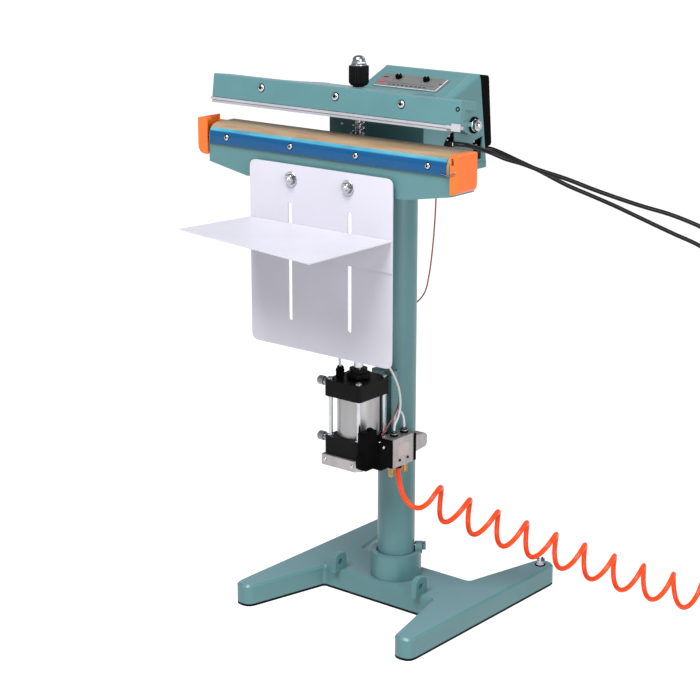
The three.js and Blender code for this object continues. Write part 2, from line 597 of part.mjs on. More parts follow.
function backPlate() {
  const face = rectangle(2 * PLATE_X, PLATE_TOP - PLATE_BOTTOM, 12, 0, (PLATE_TOP + PLATE_BOTTOM) / 2);
  let plate = prism('y', face, PLATE_FRONT_Y, PLATE_FRONT_Y + SHEET);
  for (const side of [-1, 1]) {
    const cut = slot(side * SLOT_X, SLOT_BOTTOM, SLOT_TOP, SLOT_WIDTH);
    plate = plate.subtract(prism('y', cut, PLATE_FRONT_Y - 5, PLATE_FRONT_Y + 8));
    plate = plate.subtract(
      rod(4.4, -5, 8, [side * PLATE_BOLT_X, PLATE_FRONT_Y, PLATE_BOLT_Z], [0, 1, 0], 12));
  }
  return plate;
}

function plateBolt(side) {
  const at = [side * PLATE_BOLT_X, PLATE_FRONT_Y, PLATE_BOLT_Z];
  const behind = SHEET + GAP;
  const shank = rod(4, -9, 26, at, [0, 1, 0], 12);
  const nut = rod(7.5, -7, -1, at, [0, 1, 0], 6).add(rod(10, -1.5, -GAP, at, [0, 1, 0], 20));
  return shank.add(nut).add(rod(8, behind, JAW_FRONT_Y - PLATE_FRONT_Y - GAP, at, [0, 1, 0], 6));
}

// A four-cornered sheet, its corners given anticlockwise from above, folded slightly along the first diagonal
function foldedSheet(top) {
  const low = top.map(([x, y, z]) => [x, y, z - SHEET]);
  const faces = [
    top[0], top[1], top[2], top[0], top[2], top[3], low[0], low[2], low[1], low[0], low[3], low[2],
  ];
  top.forEach((here, i) => {
    const next = (i + 1) % top.length;
    faces.push(low[i], low[next], top[next], low[i], top[next], here);
  });
  const geometry = new THREE.BufferGeometry();
  return solid(geometry.setAttribute('position', new THREE.Float32BufferAttribute(faces.flat(), 3)));
}

function shelfSheet() {
  const back = PLATE_FRONT_Y - GAP;
  const half = PLATE_X + 0.5;
  const tray = foldedSheet([
    [-half, back, SHELF_TOP], [-half, ...SHELF_LEFT_FRONT], [half, SHELF_FRONT_Y, SHELF_TOP],
    [half, back, SHELF_TOP],
  ]);
  const flange = box([-half, half], [back - SHEET, back], [SHELF_TOP - SHELF_FLANGE, SHELF_TOP - 1]);
  let shelf = tray.add(flange);
  for (const side of [-1, 1]) {
    shelf = shelf.subtract(rod(3.3, -5, 5, [side * SLOT_X, back - SHEET / 2, SHELF_BOLT_Z], [0, 1, 0], 12));
  }
  return shelf;
}

function shelfBolt(side) {
  const at = [side * SLOT_X, PLATE_FRONT_Y, SHELF_BOLT_Z];
  const front = -SHEET - 2 * GAP;
  const back = SHEET + GAP;
  return rod(3, front - 1, back + 7, at, [0, 1, 0], 12).add(rod(6, front - 4, front, at, [0, 1, 0], 16))
    .add(rod(9, back, back + 1.4, at, [0, 1, 0], 20)).add(rod(6.5, back + 1, back + 6, at, [0, 1, 0], 6));
}

piece('back_plate', backPlate(), WHITE_PAINT);
piece('plate_bolt_left', plateBolt(-1), CHROME);
piece('plate_bolt_right', plateBolt(1), CHROME);
piece('shelf', shelfSheet(), WHITE_PAINT);
piece('shelf_bolt_left', shelfBolt(-1), CHROME);
piece('shelf_bolt_right', shelfBolt(1), CHROME);

// ---------------------------------------------------------------- air cylinder
const CYL = [0, ROD_Y, 0];

// A cylinder cover with the tapped hole of its flow screw in the left face
function coverBlock(low, high, needleZ) {
  const plan = rectangle(2 * CYL_HALF, COVER_BACK_Y - COVER_FRONT_Y, 6, 0, (COVER_BACK_Y + COVER_FRONT_Y) / 2);
  const hole = rod(5.6, 0, 20, [-CYL_HALF - 1, NEEDLE_Y, needleZ], [1, 0, 0], 14);
  return prism('z', plan, low, high).subtract(hole);
}

function topCover() {
  let cover = coverBlock(COVER_TOP_Z, CYL_TOP, NEEDLE_ZS.flow_screw_top);
  cover = cover.add(rod(14, CYL_TOP - 1, 405, CYL, [0, 0, 1], 24));
  cover = cover.add(rod(18, CYL_TOP + 2, 399, CYL, [0, 0, 1], 6));
  return cover.subtract(rod(PISTON_ROD_R + 0.5, 340, 420, CYL, [0, 0, 1], 20));
}

function piston() {
  const disc = rod(BORE_R - GAP, 346, 357, CYL, [0, 0, 1], 24);
  return disc.add(rod(PISTON_ROD_R, 356, ROD_JOINT_Z, CYL, [0, 0, 1], 20));
}

function cylinderBracket() {
  const front = COVER_BACK_Y + GAP;
  const plan = outline([
    [-24, front], [24, front], [24, front + 6], [5, front + 6], [5, -40], [20, -40], [20, -20], [-20, -20],
    [-20, -40], [-5, -40], [-5, front + 6], [-24, front + 6],
  ]);
  return prism('z', plan, 275, 388).subtract(rod(COLUMN_R + GAP, 270, 395, [0, 0, 0], [0, 0, 1], 32));
}

function flowScrew(z) {
  const profile = [
    [0, 0], [5, 0], [5, 8.6], [8, 8.6], [8, 15], [6, 15], [6, 22], [7.4, 22.6], [7.4, 35], [5, 37], [2.6, 37],
    [2.6, 39], [0, 39],
  ];
  return turned(profile, [-CYL_HALF + 8, NEEDLE_Y, z], [-1, 0, 0], 16);
}

piece('cylinder_top_cover', topCover(), BLACK_ANODISED);
piece('cylinder_bottom_cover', coverBlock(COVER_LOW_Z, COVER_LOW_TOP, NEEDLE_ZS.flow_screw_bottom),
  BLACK_ANODISED);
piece('cylinder_barrel', ring(BORE_R, BARREL_R, COVER_LOW_TOP + GAP, COVER_TOP_Z - GAP, CYL), ALUMINIUM);
piece('cylinder_foot_plate', prism('z', outline([
  [-38, -142, 3], [28, -142], [36, -133], [36, -57, 3], [-38, -57, 3]]), 253, COVER_LOW_Z - GAP), ALUMINIUM);
piece('cylinder_bracket', cylinderBracket(), TEAL);
piece('piston', piston(), CHROME);
for (const [name, z] of Object.entries(NEEDLE_ZS)) piece(name, flowScrew(z), CHROME);
piece('elbow_fitting', turned([[0, 0], [5.5, 0], [5.5, 6], [7, 6], [7, 16], [5, 18], [0, 18]],
  [-20, -117, CYL_TOP + GAP], [0, 0, 1], 14), BLACK_PLASTIC);

// ---------------------------------------------------------------- solenoid valve
function solenoidCoil() {
  const coil = box([CYL_HALF + GAP + 0.7, 52], [-143, -116], [260, 319]);
  const stem = box([37, 60], [-117, VALVE_FRONT_Y - GAP], [256, 296]);
  return coil.add(stem).add(box([38, 50], [-150, -142], [264, 284]));
}

function valveBody() {
  let body = box([CYL_HALF + GAP + 0.7, 62], [VALVE_FRONT_Y, VALVE_BACK_Y], [VALVE_BOTTOM, VALVE_TOP]);
  for (const y of VALVE_PORT_YS) {
    body = body.add(rod(6, -1, 5, [VALVE_X, y, VALVE_TOP], [0, 0, 1], 16));
    body = body.add(rod(5, 4, 8, [VALVE_X, y, VALVE_TOP], [0, 0, 1], 16));
  }
  return body.subtract(rod(7.4, 240, 262, [VALVE_X, -60, 0], [0, 0, 1], 16));
}

function valvePilot() {
  const plate = box([38, 61], [VALVE_BACK_Y + GAP, -32], [254, 295]);
  const block = outline([[-33, 263], [-33, 291], [-2, 288], [2, 284], [2, 270], [-2, 266]]);
  return plate.add(prism('x', block, 40, 59)).subtract(rod(3.3, 0, 12, [VALVE_X, -6.5, 277], [0, 1, 0], 12));
}

piece('solenoid_coil', solenoidCoil(), BLACK_PLASTIC);
piece('valve_body', valveBody(), ALUMINIUM);
piece('valve_pilot', valvePilot(), ALUMINIUM);
piece('override_button', rod(3, -4, 6, [VALVE_X, 0, 277], [0, 1, 0], 12), BLACK_PLASTIC);
piece('valve_hose_fitting', turned([[0, -17], [6, -17], [7, -11], [7, 0], [0, 0]],
  [VALVE_X, -60, 261.5 - GAP], [0, 0, 1], 16), BLACK_PLASTIC);

// ---------------------------------------------------------------- cords
function coilRing([x, y]) {
  return ring(CABLE_COIL_R - 2.1 * CABLE_R, CABLE_COIL_R + 2.1 * CABLE_R, 0.4, 4.2 * CABLE_R, [x, y, 0]);
}

function mainsPlug() {
  const axis = 10.9;
  const end = MAINS_COIL[0] - 31.4;
  const y = MAINS_COIL[1] + CABLE_COIL_R + CABLE_R;
  const body = prism('z', rectangle(34, 26, 6, end - 33, y), 0.5, 21.3);
  let plug = body.add(turned([[0, 0], [4.4, 0], [6.6, 18], [0, 18]], [end, y, axis], [-1, 0, 0], 14));
  for (const side of [-1, 1]) plug = plug.add(rod(2.4, 48, 68, [end, y + side * 7, axis], [-1, 0, 0], 10));
  return plug;
}

function switchConnector() {
  const x = SWITCH_COIL[0] + CABLE_COIL_R + CABLE_R;
  const profile = [[0, 0], [4.4, 0], [6, 14], [9.6, 15], [10.2, 22], [10.2, 34], [8.4, 35], [8.4, 44], [0, 44]];
  return turned(profile, [x, SWITCH_COIL[1] + 31.4, 10.9], [0, 1, 0], 16);
}

piece('mains_cable', cord(MAINS_ROUTE, CABLE_R, 8, 72), RUBBER);
piece('mains_coil', coilRing(MAINS_COIL), RUBBER);
piece('mains_plug', mainsPlug(), BLACK_PLASTIC);
piece('switch_cable', cord(SWITCH_ROUTE, CABLE_R, 8, 74), RUBBER);
piece('switch_coil', coilRing(SWITCH_COIL), RUBBER);
piece('switch_connector', switchConnector(), BLACK_PLASTIC);
piece('air_hose_lead', cord(HOSE_LEAD, HOSE_R, 10, 8), HOSE_ORANGE);
piece('air_hose_coil', cord(HOSE_AXIS, HOSE_COIL_R + HOSE_R, 12, 30), HOSE_ORANGE);
piece('air_hose_tail', cord(HOSE_TAIL, HOSE_R, 10, 6), HOSE_ORANGE);
piece('air_hose_fitting', turned([[0, 0.4], [6, 0.4], [6, 12], [8, 12], [8, 28], [6, 30], [6, 44], [0, 44]],
  HOSE_TAIL.at(-1), [0.63, -0.77, 0.06], 14), STEEL);
piece('air_tube_top', cord(AIR_TUBE_TOP, TUBE_R, 8, 36), CLEAR_TUBE);
piece('air_tube_low', cord(AIR_TUBE_LOW, TUBE_R, 8, 24), CLEAR_TUBE);
piece('solenoid_lead', cord(SOLENOID_LEAD, WIRE_R, 8, 56), LEAD_RED);

export default group;
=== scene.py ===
"""Looks of the pneumatic impulse heat sealer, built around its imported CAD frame.

Lengths are in millimetres in the constants and helpers below, and become metres when a mesh is made. The
camera and the lights are placed in metres."""
import json
import math

import bmesh
import bpy
from mathutils import Matrix, Vector


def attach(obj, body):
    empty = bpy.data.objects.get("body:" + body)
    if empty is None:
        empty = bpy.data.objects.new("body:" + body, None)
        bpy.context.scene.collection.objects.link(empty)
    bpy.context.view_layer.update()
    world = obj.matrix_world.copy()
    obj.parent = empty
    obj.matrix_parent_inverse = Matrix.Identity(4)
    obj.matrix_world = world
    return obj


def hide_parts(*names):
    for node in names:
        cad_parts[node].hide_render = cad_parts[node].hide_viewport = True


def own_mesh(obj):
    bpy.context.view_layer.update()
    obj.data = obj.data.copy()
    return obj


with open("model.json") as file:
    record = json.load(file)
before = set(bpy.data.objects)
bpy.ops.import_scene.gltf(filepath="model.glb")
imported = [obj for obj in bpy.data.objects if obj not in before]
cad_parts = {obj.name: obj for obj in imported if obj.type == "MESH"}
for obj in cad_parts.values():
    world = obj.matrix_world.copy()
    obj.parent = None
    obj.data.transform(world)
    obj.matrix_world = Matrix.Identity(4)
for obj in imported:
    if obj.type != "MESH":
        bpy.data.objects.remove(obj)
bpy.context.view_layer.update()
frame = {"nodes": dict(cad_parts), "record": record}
NODES = frame["nodes"]
MM = 0.001
UP = (0, 0, 1)
FRONT = (0, -1, 0)
BACK = (0, 1, 0)
LEFT = (-1, 0, 0)
RIGHT = (1, 0, 0)

# ------------------------------------------------------------------ places shared with the CAD model
SLOPE = math.radians(22.4925)  # the sloping top of the housing
SLOPE_FOOT = Vector((0, -57, 790))
KNOB_ALONG = 105  # of the dials' shafts, up the slope
PIVOT = Vector((0, 48.5, 771))
OPEN = math.radians(7.7)  # how far the upper jaw is turned up at rest
CYL_Y = -97  # of the air cylinder and the pull rod above it
VALVE_X = 49  # of the valve's ports, silencers and pilot button
BAR_FRONT_Y = -171  # front face of the upper jaw, when closed
STRIP_FRONT_Y = -183.3  # front face of the blue clamp strip
JAW_Y = -162  # centre of the lower jaw's round edge
JAW_EDGE_Z = 750  # height of that centre
LEG_TIP = (162, 177, 36.6)  # where the right levelling bolt stands
PLATE_BOLT = (54, -188.8, 704)  # where the right hanging bolt leaves the backing plate
KNOB_XS = (-31, 22)  # of the sealing and the cooling dial


# ------------------------------------------------------------------ camera, light and floor
CAMERA_AT = (1.743, -2.247, 1.214)
CAMERA_DOWN = math.radians(15.76)
CAMERA_ROUND = math.radians(39.3)
CAMERA_LENS = 96.8
CAMERA_SENSOR = 36
FLOOR_HALF = 40  # metres
LAMPS = (
    # name, size, watts, place, target
    ("key", (2.2, 2.2), 275, (0.4, -2.3, 3.6), (0, -0.1, 0.4)),
    ("side", (1.4, 2.2), 62, (2.5, -1.0, 1.2), (0, 0, 0.4)),
    ("back", (2.0, 1.0), 14, (0.6, 2.4, 2.4), (0, 0, 0.6)),
)
WORLD_STRENGTH = 0.35
FLOOR_GREY = 0.16
FLOOR_GLOW = 0.96


def make_camera():
    data = bpy.data.cameras.new("camera")
    data.lens = CAMERA_LENS
    data.sensor_width = CAMERA_SENSOR
    data.clip_start = 0.1
    data.clip_end = 20
    camera = bpy.data.objects.new("camera", data)
    camera.location = CAMERA_AT
    camera.rotation_euler = (math.pi / 2 - CAMERA_DOWN, 0, CAMERA_ROUND)
    bpy.context.scene.collection.objects.link(camera)
    bpy.context.scene.camera = camera


def make_area(name, size, power, place, target):
    data = bpy.data.lights.new(name, "AREA")
    data.shape = "RECTANGLE"
    data.size, data.size_y = size
    data.energy = power
    lamp = bpy.data.objects.new(name, data)
    lamp.location = place
    lamp.rotation_euler = (Vector(target) - Vector(place)).to_track_quat("-Z", "Y").to_euler()
    bpy.context.scene.collection.objects.link(lamp)


def make_studio():
    world = bpy.data.worlds.new("studio")
    world.use_nodes = True
    background = world.node_tree.nodes["Background"]
    background.inputs["Color"].default_value = (1, 1, 1, 1)
    background.inputs["Strength"].default_value = WORLD_STRENGTH
    bpy.context.scene.world = world
    bpy.context.scene.view_settings.view_transform = "Standard"
    for lamp in LAMPS:
        make_area(*lamp)
    mesh = bpy.data.meshes.new("floor")
    corners = [(FLOOR_HALF * x, FLOOR_HALF * y, 0) for x, y in ((-1, -1), (1, -1), (1, 1), (-1, 1))]
    mesh.from_pydata(corners, [], [(0, 1, 2, 3)])
    floor = bpy.data.objects.new("floor", mesh)
    bpy.context.scene.collection.objects.link(floor)
    material = bpy.data.materials.new("floor_white")
    material.use_nodes = True
    shader = material.node_tree.nodes["Principled BSDF"]
    shader.inputs["Base Color"].default_value = (FLOOR_GREY, FLOOR_GREY, FLOOR_GREY, 1)
    shader.inputs["Roughness"].default_value = 0.7
    shader.inputs["Specular IOR Level"].default_value = 0.1
    shader.inputs["Emission Color"].default_value = (1, 1, 1, 1)
    shader.inputs["Emission Strength"].default_value = FLOOR_GLOW
    mesh.materials.append(material)


make_camera()
make_studio()


# ------------------------------------------------------------------ materials
ROUGH_SWING = 0.05
GRAIN_DEPTH = 0.0001
COAT_ROUGHNESS = 0.12
LIP_FROM, LIP_TO = 0.7582, 0.7602  # heights in metres over which a pale painted highlight comes in on the blue film
SKYWARD_FROM, SKYWARD_TO = 0.93, 0.99  # upward part of the normal over which the painted reflection of the bright sky comes in


def new_material(name):
    material = bpy.data.materials.new(name)
    material.use_nodes = True
    tree = material.node_tree
    return material, tree, tree.nodes["Principled BSDF"]


def object_noise(tree, scale, detail=3.0, stretch=(1, 1, 1)):
    coordinates = tree.nodes.new("ShaderNodeTexCoord")
    mapping = tree.nodes.new("ShaderNodeMapping")
    mapping.inputs["Scale"].default_value = stretch
    tree.links.new(coordinates.outputs["Object"], mapping.inputs["Vector"])
    noise = tree.nodes.new("ShaderNodeTexNoise")
    noise.inputs["Scale"].default_value = scale
    noise.inputs["Detail"].default_value = detail
    tree.links.new(mapping.outputs["Vector"], noise.inputs["Vector"])
    return noise


def ramp_between(tree, source, low, high, out_low, out_high):
    node = tree.nodes.new("ShaderNodeMapRange")
    for key, value in (("From Min", low), ("From Max", high), ("To Min", out_low), ("To Max", out_high)):
        node.inputs[key].default_value = value
    tree.links.new(source, node.inputs["Value"])
    return node.outputs["Result"]


def add_bump(tree, shader, height, strength, distance):
    bump = tree.nodes.new("ShaderNodeBump")
    bump.inputs["Strength"].default_value = strength
    bump.inputs["Distance"].default_value = distance
    tree.links.new(height, bump.inputs["Height"])
    tree.links.new(bump.outputs["Normal"], shader.inputs["Normal"])


def mixed_colour(tree, shader, factor, first, second):
    mix = tree.nodes.new("ShaderNodeMix")
    mix.data_type = "RGBA"
    mix.inputs["A"].default_value = (*first, 1)
    mix.inputs["B"].default_value = (*second, 1)
    tree.links.new(factor, mix.inputs["Factor"])
    tree.links.new(mix.outputs["Result"], shader.inputs["Base Color"])


def surface(name, color, other, rough, metallic=0.0, grain=900, bump=0.1, cloud=14, coat=0.0,
            stretch=(1, 1, 1), specular=0.5, cloud_stretch=(1, 1, 1)):
    """A moulded, painted or machined surface: clouds in its colour, a fine grain in its height and gloss."""
    material, tree, shader = new_material(name)
    clouds = object_noise(tree, cloud, 3.0, cloud_stretch)
    mixed_colour(tree, shader, ramp_between(tree, clouds.outputs["Fac"], 0.35, 0.65, 0, 1), color, other)
    fine = object_noise(tree, grain, 2.0, stretch)
    gloss = ramp_between(tree, fine.outputs["Fac"], 0.3, 0.7, rough - ROUGH_SWING, rough + ROUGH_SWING)
    tree.links.new(gloss, shader.inputs["Roughness"])
    shader.inputs["Metallic"].default_value = metallic
    shader.inputs["Coat Weight"].default_value = coat
    shader.inputs["Coat Roughness"].default_value = COAT_ROUGHNESS
    shader.inputs["Specular IOR Level"].default_value = specular
    add_bump(tree, shader, fine.outputs["Fac"], bump, GRAIN_DEPTH)
    return material


def film_strip():
    """Blue film on the clamp strip: deep on the flat, with a patchy painted highlight where its lip bends
    back.
    """
    material, tree, shader = new_material("blue_film")
    place = tree.nodes.new("ShaderNodeTexCoord")
    split = tree.nodes.new("ShaderNodeSeparateXYZ")
    tree.links.new(place.outputs["Object"], split.inputs["Vector"])
    lip = ramp_between(tree, split.outputs["Z"], LIP_FROM, LIP_TO, 0, 1)
    patches = object_noise(tree, 26, 3.0, (0.5, 3, 3))
    lip_highlight = tree.nodes.new("ShaderNodeMath")
    lip_highlight.operation = "MULTIPLY"
    tree.links.new(lip, lip_highlight.inputs[0])
    tree.links.new(ramp_between(tree, patches.outputs["Fac"], 0.35, 0.6, 0.55, 1), lip_highlight.inputs[1])
    # the paler colour is a painted highlight along the lip, not the film's own colour
    mixed_colour(tree, shader, lip_highlight.outputs["Value"], (0.002, 0.05, 0.14), (0.055, 0.245, 0.32))
    streaks = object_noise(tree, 60, 2.0, (0.3, 4, 4))
    gloss = ramp_between(tree, streaks.outputs["Fac"], 0.3, 0.7, 0.22, 0.36)
    tree.links.new(gloss, shader.inputs["Roughness"])
    shader.inputs["Specular IOR Level"].default_value = 0.3
    add_bump(tree, shader, streaks.outputs["Fac"], 0.05, 0.0002)
    return material


def glass_cloth():
    """Non-stick tape: a fine plain weave under a satin film, with streaks along its length."""
    material, tree, shader = new_material("glass_cloth_tape")
    streaks = object_noise(tree, 30, 4.0, (0.5, 5, 5))
    mixed_colour(tree, shader, ramp_between(tree, streaks.outputs["Fac"], 0.35, 0.65, 0, 1),
                 (0.19, 0.125, 0.066), (0.245, 0.174, 0.106))
    place = tree.nodes.new("ShaderNodeTexCoord")
    threads = []
    for direction in ("X", "Y"):
        wave = tree.nodes.new("ShaderNodeTexWave")
        wave.bands_direction = direction
        wave.inputs["Scale"].default_value = 500
        tree.links.new(place.outputs["Object"], wave.inputs["Vector"])
        threads.append(wave.outputs["Fac"])
    weave = tree.nodes.new("ShaderNodeMath")
    weave.operation = "MULTIPLY"
    for k in (0, 1):
        tree.links.new(threads[k], weave.inputs[k])
    tree.links.new(ramp_between(tree, weave.outputs["Value"], 0, 1, 0.34, 0.5), shader.inputs["Roughness"])
    add_bump(tree, shader, weave.outputs["Value"], 0.3, 0.0001)
    return material


def paint_sky_reflection(material, sky_reflection_colour):
    """A paler colour painted on the faces that look straight up: a painted reflection of the bright sky."""
    tree = material.node_tree
    shader = tree.nodes["Principled BSDF"]
    own_colour = shader.inputs["Base Color"].links[0].from_socket
    geometry = tree.nodes.new("ShaderNodeNewGeometry")
    split = tree.nodes.new("ShaderNodeSeparateXYZ")
    tree.links.new(geometry.outputs["Normal"], split.inputs["Vector"])
    mix = tree.nodes.new("ShaderNodeMix")
    mix.data_type = "RGBA"
    mix.inputs["B"].default_value = (*sky_reflection_colour, 1)
    tree.links.new(own_colour, mix.inputs["A"])
    skyward = ramp_between(tree, split.outputs["Z"], SKYWARD_FROM, SKYWARD_TO, 0, 1)
    tree.links.new(skyward, mix.inputs["Factor"])
    tree.links.new(mix.outputs["Result"], shader.inputs["Base Color"])


TEAL = surface("teal_enamel", (0.062, 0.15, 0.16), (0.056, 0.14, 0.15), 0.4, grain=420, bump=0.16, coat=0.15,
               specular=0.35)
BLACK_RUBBER = surface("black_rubber", (0.003, 0.003, 0.003), (0.005, 0.005, 0.005), 0.5, grain=1500,
                       specular=0.06)
LEAD_SHEATH = surface("lead_sheath", (0.003, 0.003, 0.003), (0.005, 0.005, 0.005), 0.24, grain=900, coat=0.05,
                      specular=0.12)
CHROME = surface("chrome_plate", (0.56, 0.57, 0.59), (0.46, 0.47, 0.5), 0.16, metallic=1, bump=0.03, cloud=60)
STEEL = surface("drawn_steel", (0.32, 0.33, 0.35), (0.26, 0.27, 0.29), 0.28, metallic=1, bump=0.05, cloud=60)
ALUMINIUM = surface("cast_aluminium", (0.4, 0.38, 0.385), (0.34, 0.325, 0.33), 0.4, metallic=0.85, bump=0.2,
                    cloud=40)
BARREL = surface("drawn_barrel", (0.4, 0.39, 0.4), (0.33, 0.325, 0.33), 0.34, metallic=0.9, grain=300,
                 bump=0.08, stretch=(1, 1, 0.03), cloud=50, cloud_stretch=(1, 1, 0.05))
BLACK_PLASTIC = surface("black_plastic", (0.0022, 0.0022, 0.0022), (0.0038, 0.0038, 0.004), 0.55, grain=1400,
                        specular=0.006)
ORANGE = surface("orange_plastic", (0.6, 0.11, 0.012), (0.56, 0.1, 0.01), 0.38, grain=600, coat=0.1,
                 specular=0.3)
WHITE = surface("white_powder_coat", (0.42, 0.412, 0.465), (0.405, 0.397, 0.45), 0.42, grain=700,
                specular=0.35)
HOSE = surface("hose_orange", (0.68, 0.046, 0.002), (0.6, 0.037, 0.001), 0.34, grain=300, coat=0.05,
               specular=0.22)
TUBE = surface("milky_tube", (0.42, 0.45, 0.47), (0.34, 0.37, 0.4), 0.25, coat=0.3)
RED_WIRE = surface("red_wire", (0.26, 0.04, 0.02), (0.2, 0.03, 0.018), 0.45)
ANODISED = surface("black_anodised", (0.003, 0.003, 0.003), (0.006, 0.006, 0.006), 0.4, grain=900, bump=0.12,
                   specular=0.06)
# painted reflection of the bright sky: the teal turns paler on its upward faces
paint_sky_reflection(TEAL, (0.094, 0.18, 0.202))
BLUE = film_strip()
TAPE = glass_cloth()
PANEL = surface("panel_film", (0.106, 0.108, 0.11), (0.09, 0.092, 0.094), 0.45, grain=1100)
PLATE_PINK = surface("blank_plate", (0.34, 0.28, 0.28), (0.3, 0.25, 0.25), 0.4, grain=900)
IRON = surface("varnished_iron", (0.1, 0.09, 0.085), (0.06, 0.05, 0.048), 0.5, grain=300, stretch=(1, 1, 30))
BOARD = surface("green_board", (0.015, 0.12, 0.05), (0.03, 0.1, 0.04), 0.45, cloud=120)
STRIP_WHITE = surface("strip_enamel", (0.29, 0.29, 0.315), (0.25, 0.25, 0.275), 0.45, grain=700, specular=0.3)
SILICONE = surface("silicone_rubber", (0.25, 0.25, 0.275), (0.22, 0.22, 0.245), 0.55, grain=900)
BRASS = surface("sintered_brass", (0.42, 0.25, 0.1), (0.3, 0.17, 0.065), 0.45, metallic=0.9, grain=2500,
                bump=0.4, cloud=120)
RED_LAMP = surface("red_lamp", (0.42, 0.035, 0.055), (0.34, 0.025, 0.045), 0.3, coat=0.4)
LOOKS = {
    "teal_paint": TEAL, "rubber_black": BLACK_RUBBER, "chrome": CHROME, "steel": STEEL,
    "aluminium": ALUMINIUM, "black_plastic": BLACK_PLASTIC, "orange_plastic": ORANGE, "white_paint": WHITE,
    "hose_orange": HOSE, "clear_tube": TUBE, "lead_red": RED_WIRE, "black_anodised": ANODISED,
    "blue_film": BLUE, "ptfe_tape": TAPE, "panel_grey": PANEL, "transformer_iron": IRON,
    "board_green": BOARD, "silicone": SILICONE,
}


# ------------------------------------------------------------------ cords
def smooth_route(points, spacing=3.0):
    """Centripetal Catmull-Rom through the points, in millimetres, as evenly spaced as the spacing asks."""
    route = [Vector(p) for p in points]
    route = [route[0] * 2 - route[1]] + route + [route[-1] * 2 - route[-2]]
    result = [route[1].copy()]
    for p0, p1, p2, p3 in zip(route, route[1:], route[2:], route[3:]):
        t1 = (p1 - p0).length ** 0.5
        t2 = t1 + (p2 - p1).length ** 0.5
        t3 = t2 + (p3 - p2).length ** 0.5
        steps = max(2, round((p2 - p1).length / spacing))
        for i in range(1, steps + 1):
            t = t1 + (t2 - t1) * i / steps
            a1 = p0 * ((t1 - t) / t1) + p1 * (t / t1)
            a2 = p1 * ((t2 - t) / (t2 - t1)) + p2 * ((t - t1) / (t2 - t1))
            a3 = p2 * ((t3 - t) / (t3 - t2)) + p3 * ((t - t2) / (t3 - t2))
            b1 = a1 * ((t2 - t) / t2) + a2 * (t / t2)
            b2 = a2 * ((t3 - t) / (t3 - t1)) + a3 * ((t - t1) / (t3 - t1))
            result.append(b1 * ((t2 - t) / (t2 - t1)) + b2 * ((t - t1) / (t2 - t1)))
    return result


def cord_piece(name, path, diameter, material):
    curve = bpy.data.curves.new(name, "CURVE")
    curve.dimensions = "3D"
    curve.bevel_depth = diameter / 2 * MM
    curve.bevel_resolution = 5
    curve.use_fill_caps = True
    spline = curve.splines.new("POLY")
    spline.points.add(len(path) - 1)
    for point, place in zip(spline.points, path):
        point.co = (*(place * MM), 1)
    curve.materials.append(material)
    piece = bpy.data.objects.new(name, curve)
    bpy.context.scene.collection.objects.link(piece)
    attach(piece, "stand")
    return piece


MAINS_ROUTE = [
    (44, 134.4, 717), (44.4, 141, 717), (46.2, 149, 716.9), (50.4, 157, 716.2), (57, 164.6, 714.2),
    (66, 171.5, 710), (96, 191, 694), (118, 208, 681), (152, 236, 658), (180, 260, 642), (209, 283, 626),
    (232, 302, 612), (256, 322, 597), (286, 346, 579), (318, 372, 560), (348, 397, 533), (374, 416, 495),
    (391, 428, 440), (399, 433, 370), (402, 434, 280), (402, 433, 180), (402, 431, 90), (402, 429.5, 60),
    (402, 428.8, 38), (404.6, 428.5, 25), (412, 428.3, 14), (423, 428.1, 6.6), (436, 428, 4),
]
MAINS_COIL = (465, 470)
MAINS_TURNS = 3.5
SWITCH_ROUTE = [
    (91.8, 14.2, 745.5), (97.1, 18.8, 745.1), (101.6, 24.2, 744.3), (105.4, 31.1, 742.8),
    (107.8, 38.6, 740.6), (109.2, 48, 737.5), (111.6, 61, 733), (117.6, 74.5, 727.5),
    (134, 92, 717), (153, 107, 710), (174, 124, 700), (207, 151, 686), (239, 177, 670),
    (271, 204, 655), (300, 227, 643), (326, 249, 633), (349, 268, 622), (374, 288, 607),
    (402, 309, 579), (421, 323, 536), (433, 332, 478), (441, 336.5, 400), (445, 338.5, 300),
    (445.6, 339.5, 190), (445.6, 339.2, 95), (445.6, 338.9, 60), (445.6, 338.7, 38),
    (448.2, 338.6, 25), (455.6, 338.5, 14), (466.6, 338.5, 6.6), (479.6, 338.5, 4),
]
SWITCH_COIL = (510, 380.5)
SWITCH_TURNS = 3.25
CABLE_D = 7
COIL_R = 38.5
COIL_SHIFT = 100  # degrees of arc over which a turn moves to the next place in the bundle
COIL_STEPS = 48  # a turn
FAR_R = COIL_R + CABLE_D / 2


def coil_turns(centre, turns):
    """Turns of a two by two bundle, anticlockwise from the south: outer, inner, then the same a layer up."""
    near = COIL_R - CABLE_D / 2
    low, high = CABLE_D / 2 + 0.5, 1.5 * CABLE_D + 0.5
    places = [(FAR_R, low), (near, low), (near, high), (FAR_R, high)]
    path = []
    steps = round(turns * COIL_STEPS)
    for i in range(steps + 1):
        angle = 360 * turns * i / steps
        radius, height = places[0]
        for k in (1, 2, 3):
            begin = 360 * k - (COIL_SHIFT + 10) * k + 10
            share = min(1, max(0, (angle - begin) / COIL_SHIFT))
            share = share * share * (3 - 2 * share)
            radius += (places[k][0] - places[k - 1][0]) * share
            height += (places[k][1] - places[k - 1][1]) * share
        turn = math.radians(angle - 90)
        x, y = centre[0] + radius * math.cos(turn), centre[1] + radius * math.sin(turn)
        path.append(Vector((x, y, height)))
    return path


def lead_and_coil(route, centre, turns, leave):
    """The whole centreline of a lead: its listed route, its coil, and a short way to its far end."""
    coil = coil_turns(centre, turns)
    path = smooth_route([*route, coil[0]])
    return path[:-1] + coil + [Vector(p) for p in leave]


